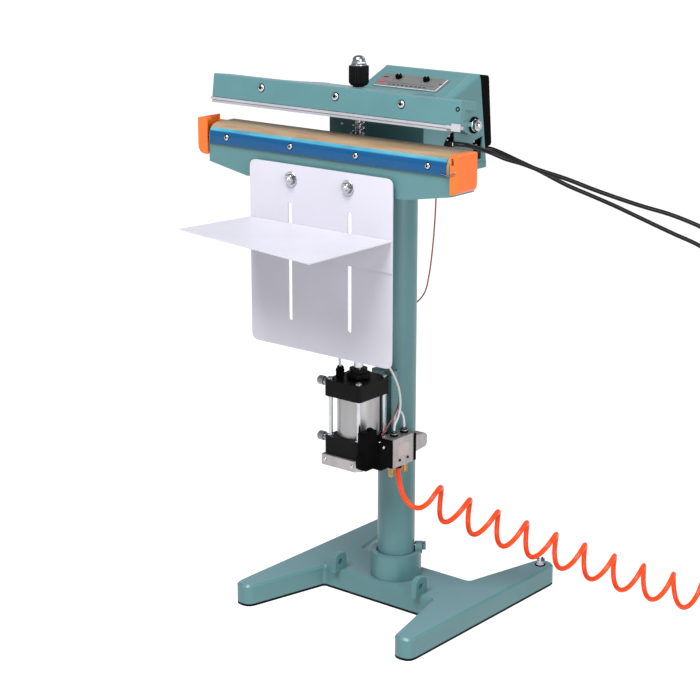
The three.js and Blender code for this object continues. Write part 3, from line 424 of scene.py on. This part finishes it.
mains_path = lead_and_coil(MAINS_ROUTE, MAINS_COIL, MAINS_TURNS, [
    (MAINS_COIL[0] - 16, MAINS_COIL[1] + FAR_R, 11), (MAINS_COIL[0] - 31, MAINS_COIL[1] + FAR_R, 10.9)])
switch_path = lead_and_coil(SWITCH_ROUTE, SWITCH_COIL, SWITCH_TURNS, [
    (SWITCH_COIL[0] + FAR_R, SWITCH_COIL[1] + 16, 11), (SWITCH_COIL[0] + FAR_R, SWITCH_COIL[1] + 31, 10.9)])

HOSE_D = 8
HELIX_R = 24
STRETCHED_PITCH = 49
PITCH_GROWTH = 0.0075  # for each millimetre further out
CLOSED_PITCH = 9
HELIX_START = math.radians(5)
HELIX_END = math.radians(17 * 360 - 90)  # at the bottom of a turn
HELIX_STEP = math.radians(22)
HOSE_LEAD = [
    (49, -60, 243.4), (49.7, -59.9, 234), (51, -59.7, 225), (54.1, -59.5, 212.2), (59.1, -59.4, 201.4),
    (65.1, -59.1, 193.5), (71.7, -58.7, 188.3), (78.7, -57.9, 185.2), (85.5, -56.9, 184.6),
    (91.8, -54.9, 186.4),
]
HOSE_AXIS = [
    (85.3, -31.5, 193), (104, -16, 183), (139, 13, 162), (175, 42, 142), (210, 71, 124), (247, 101, 104),
    (283, 131, 86), (321, 162, 67), (356, 190, 52), (393, 221, 38), (424, 246, 30), (458, 274, 28.5),
    (491, 301, 28.5),
]
HOSE_TAIL = [(504, 283, 4.4), (517, 267, 4.4), (530, 251, 5.4), (541.5, 237, 8)]
CLOSED_FROM_X = 436


def hose_pitch(x):
    """The helix's pitch: open and slowly growing, then closed on the floor."""
    if x < CLOSED_FROM_X:
        return STRETCHED_PITCH + PITCH_GROWTH * (x - HOSE_AXIS[0][0])
    return CLOSED_PITCH


def hose_helix():
    """The curly part: a helix round the sagging axis."""
    axis = smooth_route(HOSE_AXIS, 0.3)
    path = []
    phase = HELIX_START
    for here, after in zip(axis, axis[1:]):
        if phase >= HELIX_START + len(path) * HELIX_STEP:
            along = (after - here).normalized()
            side = along.cross(Vector(UP)).normalized()
            up = side.cross(along)
            path.append(here + HELIX_R * (math.cos(phase) * side + math.sin(phase) * up))
        if phase >= HELIX_END:
            break
        phase += 2 * math.pi * (after - here).length / hose_pitch(here.x)
    return path


hose_path = smooth_route([*HOSE_LEAD, *hose_helix(), *HOSE_TAIL])

SOLENOID_LEAD = [
    (61, 12, 697.6), (62, 13, 670), (60, 14, 630), (53, 18, 580), (41, 26, 535), (23, 38, 500), (-2, 45, 476),
    (-27, 34, 451), (-41, 5, 434), (-36, -28, 421), (-14, -44, 409), (12, -45, 397), (27, -46, 386),
    (38, -45, 370), (43, -48, 354), (43.5, -54, 341), (42.5, -63, 327), (41, -72, 316.5),
    (40.2, -79.5, 309.5), (40.6, -87, 305), (41.6, -93, 301.3), (42, -95, 296.9),
]
AIR_TUBE_TOP = [
    (-20, -117, 408.4), (-20, -118, 430), (-10, -124, 450), (12, -125, 458), (32, -112, 449), (41, -86, 422),
    (44, -66, 394), (47, -56, 368), (49.5, -56, 345), (50, -62, 327), (49, -69, 315), (49, -70, 306.4),
]
AIR_TUBE_LOW = [
    (49, -45, 306.4), (48.8, -45.2, 316), (46.5, -45.5, 325), (42, -46, 331), (36.5, -46.3, 331),
    (32.5, -46.5, 325), (31, -46.6, 316), (31, -46.6, 301), (31, -48.6, 293.5), (31, -54.1, 288),
    (31, -61.6, 286),
]
WIRE_D = 2.4
TUBE_D = 4
TIE_ANGLE = math.radians(200)
TIE_Z = 7.9
TIE_HALF = (8.6, 7.0)  # the strap's half width and half height round the bundle
TIE_SQUARENESS = 0.6
TIE_STEPS = 24


# ------------------------------------------------------------------ mesh work
def disc(radius, low, high):
    """The profile of a plain disc or bar, for lathe."""
    return [(0, low), (radius, low), (radius, high), (0, high)]


def lathe(bm, profile, at, axis, segments, flutes=0, depth=0.0):
    """Adds a solid of revolution. The profile's points are (radius, distance along the axis), and a closed
    profile makes a ring. Flutes cut its widest part that deep."""
    turn = Vector(UP).rotation_difference(Vector(axis)).to_matrix()
    widest = max(r for r, _ in profile)
    closed = profile[0] == profile[-1]
    rings = []
    for r, d in profile[:-1] if closed else profile:
        if r < 1e-6:
            rings.append([bm.verts.new(Vector(at) + turn @ Vector((0, 0, d)))])
            continue
        ring = []
        for i in range(segments):
            angle = 2 * math.pi * i / segments
            cut = depth * (0.5 - 0.5 * math.cos(flutes * angle)) if flutes and r > 0.9 * widest else 0
            place = Vector(((r - cut) * math.cos(angle), (r - cut) * math.sin(angle), d))
            ring.append(bm.verts.new(Vector(at) + turn @ place))
        rings.append(ring)
    if closed:
        rings.append(rings[0])
    for a, b in zip(rings, rings[1:]):
        for i in range(segments):
            j = (i + 1) % segments
            corners = [a[i % len(a)], a[j % len(a)], b[j % len(b)], b[i % len(b)]]
            bm.faces.new(list(dict.fromkeys(corners)))


def block(bm, x, y, z, turn=Matrix.Identity(4)):
    """Adds a box between two values on each axis, turned afterwards."""
    size = Vector((x[1] - x[0], y[1] - y[0], z[1] - z[0]))
    middle = Vector((x[0] + x[1], y[0] + y[1], z[0] + z[1])) / 2
    bmesh.ops.create_cube(bm, size=1, matrix=turn @ Matrix.Translation(middle) @ Matrix.Diagonal((*size, 1)))


def sweep(bm, points, radius, sides=12, closed=False):
    """Adds a round bar along the points, its frame carried along without twist."""
    path = [Vector(p) for p in points]
    count = len(path)
    side = None
    rings = []
    for i, here in enumerate(path):
        before = path[(i - 1) % count] if closed or i else here
        after = path[(i + 1) % count] if closed or i < count - 1 else here
        along = (after - before).normalized()
        if side is None:
            side = along.orthogonal()
        side = (side - along * side.dot(along)).normalized()
        up = along.cross(side)
        rings.append([bm.verts.new(here + radius * (math.cos(a) * side + math.sin(a) * up))
                      for a in (2 * math.pi * k / sides for k in range(sides))])
    if closed:
        rings.append(rings[0])
    for a, b in zip(rings, rings[1:]):
        for k in range(sides):
            bm.faces.new((a[k], a[(k + 1) % sides], b[(k + 1) % sides], b[k]))
    if not closed:
        bm.faces.new(list(reversed(rings[0])))
        bm.faces.new(rings[-1])


SHARP_ANGLE = math.radians(34)  # edges sharper than this are rounded
FLAT_ANGLE = math.radians(0.6)
WELD = 1e-6  # metres


def round_edges(thing, width):
    """Welds and flattens a mesh, rounds its edges by that many millimetres and evens its shading."""
    weld = thing.modifiers.new("weld", "WELD")
    weld.merge_threshold = WELD
    flat = thing.modifiers.new("flat", "DECIMATE")
    flat.decimate_type = "DISSOLVE"
    flat.angle_limit = FLAT_ANGLE
    if width:
        edge = thing.modifiers.new("edge", "BEVEL")
        edge.width = width * MM
        edge.segments = 2
        edge.limit_method = "ANGLE"
        edge.angle_limit = SHARP_ANGLE
    thing.modifiers.new("even", "WEIGHTED_NORMAL")
    for face in thing.data.polygons:
        face.use_smooth = True


def jaw_turn():
    """From the closed upper jaw, as it is measured, to the open one, as it stands."""
    return Matrix.Translation(PIVOT) @ Matrix.Rotation(-OPEN, 4, "X") @ Matrix.Translation(-PIVOT)


def piece(name, bm, material, slot_name, body="stand", edge=0.3, nodes=(), closed_jaw=False):
    """Makes one visual piece, in metres, from a shape in millimetres."""
    if closed_jaw:
        bm.transform(jaw_turn())
    bm.transform(Matrix.Scale(MM, 4))
    bmesh.ops.recalc_face_normals(bm, faces=bm.faces)
    mesh = bpy.data.meshes.new(name)
    bm.to_mesh(mesh)
    bm.free()
    mesh.materials.append(material)
    thing = bpy.data.objects.new(name, mesh)
    bpy.context.scene.collection.objects.link(thing)
    round_edges(thing, edge)
    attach(thing, body)
    if nodes:
        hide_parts(*nodes)
    return thing


def hex_nut(bm, at, axis, across, height, bore=0.0):
    """Adds a nut or bolt head with its corners chamfered."""
    corner = across / math.sqrt(3)
    ease = 0.6 * (corner - across / 2)
    profile = [(bore, 0), (across / 2, 0), (corner, ease), (corner, height - ease), (across / 2, height),
               (bore, height)]
    if bore:
        profile.append(profile[0])
    lathe(bm, profile, at, axis, 6)


def pan_screw(bm, at, axis, radius, height):
    """Adds a domed screw head."""
    dome = [(0, 0), (radius, 0), (radius, height * 0.45), (radius * 0.86, height * 0.78),
            (radius * 0.55, height), (0, height * 1.02)]
    lathe(bm, dome, at, axis, 24)


def coil_ties():
    """The strap that holds each coiled lead."""
    out = Vector((math.cos(TIE_ANGLE), math.sin(TIE_ANGLE), 0))
    for name, centre in (("mains_coil_tie", MAINS_COIL), ("switch_coil_tie", SWITCH_COIL)):
        middle = Vector((*centre, TIE_Z)) + out * COIL_R
        loop = []
        for k in range(TIE_STEPS):
            angle = 2 * math.pi * k / TIE_STEPS
            wide, tall = (half * abs(share) ** TIE_SQUARENESS * math.copysign(1, share)
                          for half, share in zip(TIE_HALF, (math.cos(angle), math.sin(angle))))
            loop.append(middle + out * wide + Vector((0, 0, tall)))
        bm = bmesh.new()
        sweep(bm, loop, 0.8, 8, closed=True)
        piece(name, bm, BLACK_PLASTIC, "black_plastic", edge=0)


def make_cords():
    for name, path, diameter, material, slot_name, nodes, end, pieces in (
        ("mains_lead", mains_path, CABLE_D, LEAD_SHEATH, "rubber_black",
         ("mains_cable", "mains_coil"), "plug", ["mains_plug", "mains_coil_tie"]),
        ("switch_lead", switch_path, CABLE_D, LEAD_SHEATH, "rubber_black",
         ("switch_cable", "switch_coil"), "connector", ["switch_connector", "switch_coil_tie"]),
        ("air_hose", hose_path, HOSE_D, HOSE, "hose_orange",
         ("air_hose_lead", "air_hose_coil", "air_hose_tail"), "fitting", ["air_hose_fitting"]),
        ("solenoid_wire", smooth_route(SOLENOID_LEAD), WIRE_D, RED_WIRE, "lead_red",
         ("solenoid_lead",), "object", []),
        ("upper_air_tube", smooth_route(AIR_TUBE_TOP), TUBE_D, TUBE, "clear_tube",
         ("air_tube_top",), "object", []),
        ("lower_air_tube", smooth_route(AIR_TUBE_LOW), TUBE_D, TUBE, "clear_tube",
         ("air_tube_low",), "object", []),
    ):
        cord = cord_piece(name, path, diameter, material)
        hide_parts(*nodes)


coil_ties()
make_cords()


# ------------------------------------------------------------------ jaws
BAR_SCREWS = [(x, BAR_FRONT_Y, 800) for x in (-131, 12, 132)]
STRIP_SCREWS = [(x, STRIP_FRONT_Y, 751) for x in (-186.8, -59.9, 64, 192.6)]
HOUSING_SCREWS = [(-90, -44, 722), (-90, 78, 800)]


def screws():
    """Domed screws with a dark socket, and a dark ring under the head that is painted shade."""
    for name, places, axis, radius, height, body, closed in (
        ("bar_screws", BAR_SCREWS, FRONT, 5.6, 3.0, "upper_jaw", True),
        ("strip_screws", STRIP_SCREWS, FRONT, 4.2, 2.2, "stand", False),
        ("housing_screws", HOUSING_SCREWS, LEFT, 3.6, 1.8, "stand", False),
    ):
        bm = bmesh.new()
        dark = bmesh.new()
        for at in places:
            pan_screw(bm, at, axis, radius, height)
            top = Vector(at) + Vector(axis) * (height * 0.98)
            lathe(dark, disc(radius * 0.42, 0, height * 0.12), top, axis, 6)
            # a dark ring just wider than the head: painted shade under it
            lathe(dark, disc(radius + 0.9, -0.2, 0.35), at, axis, 24)
        piece(name, bm, CHROME, "chrome", body, 0.15, closed_jaw=closed)
        piece(name + "_sockets_and_painted_shade_rings", dark, BLACK_PLASTIC, "black_plastic", body, 0, closed_jaw=closed)
    bm = bmesh.new()
    hollow = [(0, -1), (3.4, -1), (3.4, 0.5), (1.9, 0.5), (1.9, -0.6), (0, -0.6)]
    lathe(bm, hollow, (229.6, BAR_FRONT_Y, 802), FRONT, 20)
    piece("bar_set_screw", bm, ANODISED, "black_anodised", "upper_jaw", 0.1, closed_jaw=True)


def wall_screws():
    """The small bright screws on the housing's front wall, seen between the jaws."""
    bm = bmesh.new()
    for x, z in ((-65, 770), (-65, 754), (17, 751), (-46, 757)):
        pan_screw(bm, (x, -56.9, z), FRONT, 2.2, 1.3)
    piece("wall_screws", bm, CHROME, "chrome", edge=0)


STRIP_INNER, STRIP_OUTER = 20.1, 21.4  # radii round the jaw's edge
STRIP_FOOT_Z = 740
STRIP_ENDS = (-222, 224)
LIP_ARC = 0.7  # radians
LIP_STEPS = 7


def strip_lip():
    """The blue strip: a flat front, and an upper lip that follows the jaw's round edge."""
    bm = bmesh.new()
    section = [(JAW_Y - STRIP_INNER, STRIP_FOOT_Z), (JAW_Y - STRIP_OUTER, STRIP_FOOT_Z),
               (JAW_Y - STRIP_OUTER, JAW_EDGE_Z + 1)]
    outside = [(STRIP_OUTER, i) for i in range(1, LIP_STEPS + 1)]
    inside = [(STRIP_INNER, i) for i in range(LIP_STEPS, -1, -1)]
    for radius, i in outside + inside:
        angle = math.pi - LIP_ARC * i / LIP_STEPS
        section.append((JAW_Y + radius * math.cos(angle), JAW_EDGE_Z + radius * math.sin(angle)))
    ends = [[bm.verts.new((x, y, z)) for y, z in section] for x in STRIP_ENDS]
    bm.faces.new(ends[0])
    bm.faces.new(list(reversed(ends[1])))
    for i in range(len(section)):
        j = (i + 1) % len(section)
        bm.faces.new((ends[0][j], ends[0][i], ends[1][i], ends[1][j]))
    piece("blue_clamp_strip", bm, BLUE, "blue_film", edge=0.25, nodes=["tape_clamp_strip"])


def wire_hooks():
    """The bent ends of the heating wire, beside the right end cap."""
    bm = bmesh.new()
    hook = [(216, -184.5, 743), (224, -185.2, 742.3), (232, -186, 742.6), (238, -186.3, 744.5),
            (242, -185.6, 748)]
    tail = [(228.6, -177, 766), (230.5, -181, 759), (231, -183, 752), (230.6, -183, 744)]
    sweep(bm, smooth_route(hook, 1.0), 0.8, 8)
    sweep(bm, smooth_route(tail, 1.0), 0.5, 8)
    piece("element_wire_end", bm, STEEL, "steel", edge=0)


SPRING_BOTTOM, SPRING_TOP = 731.6, 814.9
SPRING_TURNS = 12
SPRING_R = 8.0
SPRING_WIRE_R = 1.25
SPRING_STEPS = 20  # a turn
SPRING_CROWDING = 0.035  # of its height, by which the end turns lie closer


def spring():
    points = []
    steps = SPRING_TURNS * SPRING_STEPS
    for i in range(steps + 1):
        share = i / steps
        angle = 2 * math.pi * SPRING_TURNS * share
        eased = share - SPRING_CROWDING * math.sin(2 * math.pi * share)
        points.append((SPRING_R * math.cos(angle), CYL_Y + SPRING_R * math.sin(angle),
                       SPRING_BOTTOM + (SPRING_TOP - SPRING_BOTTOM) * eased))
    bm = bmesh.new()
    sweep(bm, points, SPRING_WIRE_R, 10)
    thing = piece("wound_return_spring", bm, CHROME, "steel", edge=0, nodes=["return_spring"])
    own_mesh(thing)


def pressure_knob():
    bm = bmesh.new()
    bore, low, high = 5.4, 835.6, 866
    profile = [
        (bore, low), (9, low), (9, low + 1.4), (12, low + 2), (14.2, low + 4.5), (15, low + 6.5),
        (15, high - 0.7), (14.5, high - 0.1), (11, high), (bore, high), (bore, low),
    ]
    lathe(bm, profile, (0, CYL_Y, 0), UP, 144, 24, 0.9)
    piece("fluted_pressure_knob", bm, ANODISED, "black_plastic", "pressure_nut", 0.15, ["pressure_knob"])
    cap = bmesh.new()
    hex_nut(cap, (0, CYL_Y, 868.6), UP, 19.4, 4.6)
    dome = [(0, 872), (9.3, 872), (9.3, 874.4), (8.9, 876.4), (7.6, 878.6), (5.6, 880), (3, 880.8), (0, 881)]
    lathe(cap, dome, (0, CYL_Y, 0), UP, 40)
    piece("cap_nut", cap, STEEL, "chrome", "ram", 0.2)


def time_knobs():
    normal = Vector((0, -math.sin(SLOPE), math.cos(SLOPE)))
    lean = Vector(UP).rotation_difference(normal).to_matrix().to_4x4()
    profile = [(0, -8), (3, -8), (3, 1.7), (5.5, 1.7), (5.5, 2.6), (5.1, 3), (4.9, 6.6), (4.3, 7.3), (0, 7.4)]
    for word, x in zip(("sealing", "cooling"), KNOB_XS):
        at = SLOPE_FOOT + Vector((x, KNOB_ALONG * math.cos(SLOPE), KNOB_ALONG * math.sin(SLOPE)))
        body = f"{word}_dial"
        bm = bmesh.new()
        lathe(bm, profile, at, normal, 72, 18, 0.35)
        piece(body + "_knob", bm, BLACK_PLASTIC, "black_plastic", body, 0.1, [f"{word}_time_knob"])
        mark = bmesh.new()
        block(mark, (-0.35, 0.35), (0.6, 3.9), (7.3, 7.48), Matrix.Translation(at) @ lean)
        piece(body + "_knob_pointer", mark, WHITE, "white_paint", body, 0)


def panel_marks():
    """Generic print on the panel: ticks round the knobs, rows of short bars, a red lamp and a pale margin."""
    dark = bmesh.new()
    pale = bmesh.new()
    red = bmesh.new()
    lift = (1.3, 1.42)  # over the slope
    for x in KNOB_XS:
        for k in range(11):
            swing = Matrix.Rotation(math.radians(135 - 27 * k), 4, "Z")
            reach = 9.2 if k % 5 else 10.2
            block(dark, (-0.3, 0.3), (7.4, reach), lift, Matrix.Translation((x, KNOB_ALONG - 1, 0)) @ swing)
    for k in range(9):
        block(dark, (-38 + 8.4 * k, -33 + 8.4 * k), (83.5, 85.5), lift)
    block(dark, (-60, -52), (104, 106.4), lift)
    block(dark, (50, 56), (98, 100), lift)
    block(dark, (-44, 44), (90.4, 90.9), lift)
    block(pale, (55.4, 57.2), (78.5, 113.5), lift)
    block(pale, (-62, 57), (78, 79.2), lift)
    lathe(red, [(0, 1.3), (5.2, 1.3), (4.6, 1.9), (0, 2.3)], (-54, 93, 0), UP, 24)
    to_slope = Matrix.Translation(SLOPE_FOOT) @ Matrix.Rotation(SLOPE, 4, "X")
    for name, bm, material, slot_name in (("panel_print", dark, BLACK_PLASTIC, "black_plastic"),
                                          ("panel_margin", pale, WHITE, "white_paint"),
                                          ("panel_lamp", red, RED_LAMP, "lead_red")):
        bm.transform(to_slope)
        piece(name, bm, material, slot_name, edge=0)


def bolt_set(bm, dark, at, axis, across, washer, height, stud, stud_radius):
    """A washer, a nut and the stud that stands out of it, from the face at "at" outwards."""
    lathe(bm, [(0, 0), (washer, 0), (washer, 0.9), (washer - 0.5, 1.4), (0, 1.4)], at, axis, 32)
    base = Vector(at) + Vector(axis) * 1.4
    hex_nut(bm, base, axis, across, height)
    thread = [(0, height)]
    for k in range(int((stud - height - 2) / 0.9)):
        z = height + 0.9 * k
        thread += [(stud_radius, z + 0.2), (stud_radius - 0.35, z + 0.65)]
    thread += [(stud_radius, stud - 1.6), (stud_radius - 1.2, stud - 0.6), (0, stud - 0.6)]
    lathe(bm, thread, base, axis, 20)
    if dark is not None:
        seat = washer + 2.2
        lathe(dark, [(0, -0.6), (seat, -0.6), (seat, 0.3), (seat - 0.8, 0.8), (0, 0.8)], at, axis, 32)


def plate_bolts():
    """The two hanging bolts of the backing plate: a nut behind it, and a washer, nut and stud before it."""
    for side, word in ((-1, "left"), (1, "right")):
        bm = bmesh.new()
        x, y, z = PLATE_BOLT
        at = (x * side, y, z)
        lathe(bm, disc(4, 0, 24), at, BACK, 20)
        hex_nut(bm, (x * side, y + 2.6, z), BACK, 13, 5.8)
        bolt_set(bm, None, at, FRONT, 14.5, 11.6, 5.4, 8.6, 4)
        piece(f"plate_nut_{word}", bm, CHROME, "chrome", edge=0.15, nodes=[f"plate_bolt_{word}"])


def pivot_bolts():
    for side, word in ((-1, "left"), (1, "right")):
        bm = bmesh.new()
        dark = bmesh.new()
        axis = (side, 0, 0)
        at = (104.9 * side, PIVOT.y, PIVOT.z)
        lathe(bm, disc(6, -30, 1), at, axis, 24)
        lathe(bm, [(0, 1.6), (9.4, 1.6), (9.4, 2.4), (8.8, 3), (0, 3)], at, axis, 32)
        hex_nut(bm, (107.9 * side, PIVOT.y, PIVOT.z), axis, 16, 6)
        end = (113.5 * side, PIVOT.y, PIVOT.z)
        lathe(bm, [(0, 0), (4.6, 0), (4.6, 3.2), (3.6, 4), (0, 4)], end, axis, 20)
        ring = [(6.1, -0.5), (12.6, -0.5), (12.6, 1.6), (11.8, 2), (6.1, 2), (6.1, -0.5)]
        lathe(dark, ring, at, axis, 36)
        piece(f"pivot_bolt_{word}_head", bm, CHROME, "chrome", edge=0.2, nodes=[f"pivot_bolt_{word}"])
        piece(f"pivot_washer_{word}", dark, BLACK_PLASTIC, "black_plastic", edge=0)


def base_bolts():
    """The levelling bolts at the tips of the rear legs, each with a wing nut."""
    bm = bmesh.new()
    ears = bmesh.new()
    dark = bmesh.new()
    wing = [(0, -1), (3.4, -1), (3.9, -0.4), (3.9, 0.4), (3.4, 1), (0, 1)]
    for side in (-1, 1):
        x, y, z = LEG_TIP[0] * side, LEG_TIP[1], LEG_TIP[2]
        bolt_set(bm, dark, (x, y, z), UP, 9, 6.4, 4.4, 9, 2.8)
        for ear in (-1, 1):
            lathe(ears, wing, (x + 5.4 * ear, y, z + 10.9), BACK, 24)
            block(ears, sorted((x + 1.6 * ear, x + 5 * ear)), (y - 0.9, y + 0.9), (z + 4.6, z + 10.4))
    piece("leg_bolts", bm, WHITE, "white_paint", edge=0.15)
    piece("leg_bolt_wings", ears, STEEL, "steel", edge=0.15)
    piece("leg_bolt_seats", dark, BLACK_PLASTIC, "black_plastic", edge=0)


def terminals():
    """The dark terminal blocks seen through the two cut-outs in the housing's right side."""
    dark = bmesh.new()
    bright = bmesh.new()
    block(dark, (74, 83), (-12, 24), (728, 768))
    block(dark, (74, 83), (60, 90), (712, 750))
    for y, z in ((-2, 742), (9, 737), (10, 750), (14, 757), (68, 735), (78, 741), (84, 733), (72, 724)):
        lathe(bright, [(0, -0.5), (2.4, -0.5), (2.4, 1), (1.6, 1.6), (0, 1.7)], (83, y, z), RIGHT, 16)
    for ys, z in (((-6, 3.5, 13), (730, 764)), ((66, 75), (716, 746))):
        for y in ys:
            block(dark, (82.5, 84.6), (y - 0.8, y + 0.8), z)
    piece("terminal_blocks", dark, BLACK_PLASTIC, "black_plastic", edge=0.5)
    piece("terminal_screws", bright, WHITE, "white_paint", edge=0)


# ------------------------------------------------------------------ cylinder and valve
def cylinder_details():
    """Tie rods with their nuts, screws in the top cover, and the gland nut round the piston's rod."""
    rods = bmesh.new()
    heads = bmesh.new()
    head = [(0, 389), (5, 389), (5, 392.4), (4.5, 392.9), (2.6, 392.9), (2.2, 390.5), (0, 390.5)]
    for x in (-27.5, 27.5):
        for y in (-130.5, -69.5):
            lathe(rods, disc(3.3, 299, 363.6), (x, y, 0), UP, 24)
            for z in (299, 360.4):
                hex_nut(rods, (x, y, z), UP, 8.6, 3)
            lathe(heads, head, (x, y, 0), UP, 24)
    piece("tie_rods", rods, CHROME, "chrome", edge=0.12)
    piece("cover_screws", heads, STEEL, "steel", edge=0.1)
    nose = bmesh.new()
    hex_nut(nose, (0, CYL_Y, 389.6), UP, 34, 9, 9)
    rim = [(8.2, 398), (14, 398), (14, 402), (13.2, 404.4), (9.6, 404.4), (8.2, 403), (8.2, 398)]
    lathe(nose, rim, (0, CYL_Y, 0), UP, 40)
    piece("gland_nut", nose, ANODISED, "black_anodised", edge=0.3)


def flow_screws():
    """The flow-control screws: a threaded end, a nut, a neck and a knurled head with a pin."""
    knurled = [
        (0, 14), (5.6, 14), (5.6, 21), (6, 21.5), (6, 22.5), (5, 23), (5, 23.8), (7.2, 24.4), (7.2, 34),
        (6.4, 35), (4, 35.2), (4, 34.4), (2.4, 34.4), (2.4, 38.6), (0, 38.6),
    ]
    for node, body, z in (("flow_screw_top", "top_needle", 379), ("flow_screw_bottom", "low_needle", 289)):
        bm = bmesh.new()
        at = (-27, -116, z)
        lathe(bm, disc(5, 0, 8.5), at, LEFT, 24)
        hex_nut(bm, (-35.6, -116, z), LEFT, 13.4, 6)
        lathe(bm, knurled, at, LEFT, 80, 20, 0.5)
        piece(node + "_knurled", bm, STEEL, "chrome", body, 0.12, [node])


def elbow():
    bm = bmesh.new()
    at = Vector((-20, -117, 389.8))
    bend = [at + Vector(p) for p in ((0, 0, 7), (0, 0, 12), (0.8, -0.6, 15), (2, -1.4, 17.4))]
    lathe(bm, [(0, 0), (5.4, 0), (5.4, 3), (6.6, 3.4), (6.6, 8.5), (0, 8.5)], at, UP, 28)
    hex_nut(bm, at, UP, 11.4, 4)
    sweep(bm, smooth_route(bend, 1.0), 5.6, 24)
    lathe(bm, [(0, -2), (6.8, -2), (6.8, 1.4), (6.2, 2), (0, 2)], bend[1], (0.25, -0.15, 1), 28)
    piece("push_elbow", bm, BLACK_PLASTIC, "black_plastic", edge=0.3, nodes=["elbow_fitting"])


def valve_details():
    """Port collars, seals, the pilot button's ring, holes and a blank plate on the valve's body; its exhaust
    silencers; the mouldings and screws of its coil."""
    dark = bmesh.new()
    collar = [(0, 298.1), (6.4, 298.1), (6.4, 301.4), (5.6, 302), (5.2, 305.4), (4.4, 306), (0, 306)]
    for y in (-70, -45):
        lathe(dark, collar, (VALVE_X, y, 0), UP, 28)
    block(dark, (37.4, 62.8), (-37.4, -31.6), (252.6, 296))
    ring = [(3.4, 0), (6.4, 0), (6.4, 2), (5.6, 2.6), (3.4, 2.6), (3.4, 0)]
    lathe(dark, ring, (VALVE_X, 1.8, 277), BACK, 28)
    block(dark, (36, 61.4), (-89.6, -87.8), (252, 297.6))
    for y in (-72, -52):
        lathe(dark, [(0, 0), (2.2, 0), (2.2, 0.9), (1.5, 1.2), (0, 1.2)], (62, y, 262), RIGHT, 16)
    piece("valve_seals", dark, BLACK_PLASTIC, "black_plastic", edge=0.25)
    plate = bmesh.new()
    block(plate, (61.8, 62.35), (-76, -48), (268, 288))
    piece("valve_blank_plate", plate, PLATE_PINK, "panel_grey", edge=0.2)
    brass = bmesh.new()
    silencer = [
        (0, 232.4), (1.5, 232.4), (3.8, 233.4), (4.7, 236), (4.7, 244.4), (5.6, 245), (5.6, 249), (3.6, 249),
        (3.6, 252.4), (0, 252.4),
    ]
    for y in (-76.5, -43.5):
        lathe(brass, silencer, (VALVE_X, y, 0), UP, 28)
    piece("exhaust_silencers", brass, BRASS, "steel", edge=0.15)
    coil = bmesh.new()
    block(coil, (36.2, 52.6), (-144.2, -115.4), (262, 266))
    block(coil, (39, 49), (-151.6, -149), (266, 282))
    block(coil, (38, 52), (-142, -117), (318.8, 320.6))
    lathe(coil, [(0, 0), (4.6, 0), (4.6, 2.4), (3.6, 3.2), (0, 3.2)], (44.5, -124, 320.4), UP, 24)
    lathe(coil, [(0, -1), (4.4, -1), (4.4, 6), (3.4, 9), (2, 9.6), (0, 9.6)], (42, -97.5, 296), UP, 24)
    lathe(coil, [(0, 0), (3.4, 0), (3.4, 7), (2.6, 8), (0, 8)], (43, -109, 295.5), UP, 20)
    piece("coil_mouldings", coil, BLACK_PLASTIC, "black_plastic", edge=0.5)
    bright = bmesh.new()
    pan_screw(bright, (47, -104, 296), UP, 3, 1.6)
    pan_screw(bright, (60.1, -110, 292), RIGHT, 2.6, 1.2)
    piece("coil_screws", bright, CHROME, "chrome", edge=0.1)


def foot_plate_screws():
    bm = bmesh.new()
    for x in (-30, 24):
        pan_screw(bm, (x, -142.2, 262), FRONT, 3, 1.5)
    piece("foot_plate_screws", bm, CHROME, "chrome", edge=0.1)


# ------------------------------------------------------------------ the CAD nodes that stay
EDGES = {  # how far each node's edges are rounded
    "base_casting": 1.6, "base_sole": 0.8, "housing_shell": 1.6, "lower_jaw_frame": 1.2,
    "upper_jaw_frame": 1.0, "rear_cover": 1.6, "end_cap_left": 1.2, "end_cap_right": 1.2,
    "cylinder_top_cover": 1.0, "cylinder_bottom_cover": 1.0, "cylinder_foot_plate": 0.9,
    "solenoid_coil": 1.0, "valve_body": 0.9, "valve_pilot": 0.9, "back_plate": 0.35, "shelf": 0.35,
    "strip_holder": 0.5, "ptfe_tape": 0, "heating_wire": 0, "control_panel": 0.2,
    "cylinder_bracket": 1.0, "mains_plug": 2.0,
}
OTHER_EDGES = 0.4
OTHER_LOOKS = {"cylinder_barrel": BARREL, "strip_holder": STRIP_WHITE, "pull_rod": STEEL}


def dress_frame():
    for part in frame["record"]["subparts"]:
        node = NODES[part["node"]]
        node.data.materials.clear()
        node.data.materials.append(OTHER_LOOKS.get(part["node"], LOOKS[part["material_slot"]]))
        round_edges(node, EDGES.get(part["node"], OTHER_EDGES))


dress_frame()
for build in (screws, strip_lip, wire_hooks, spring, pressure_knob, time_knobs, panel_marks, plate_bolts,
              pivot_bolts, base_bolts, terminals, cylinder_details, flow_screws, elbow, valve_details,
              foot_plate_screws, wall_screws):
    build()
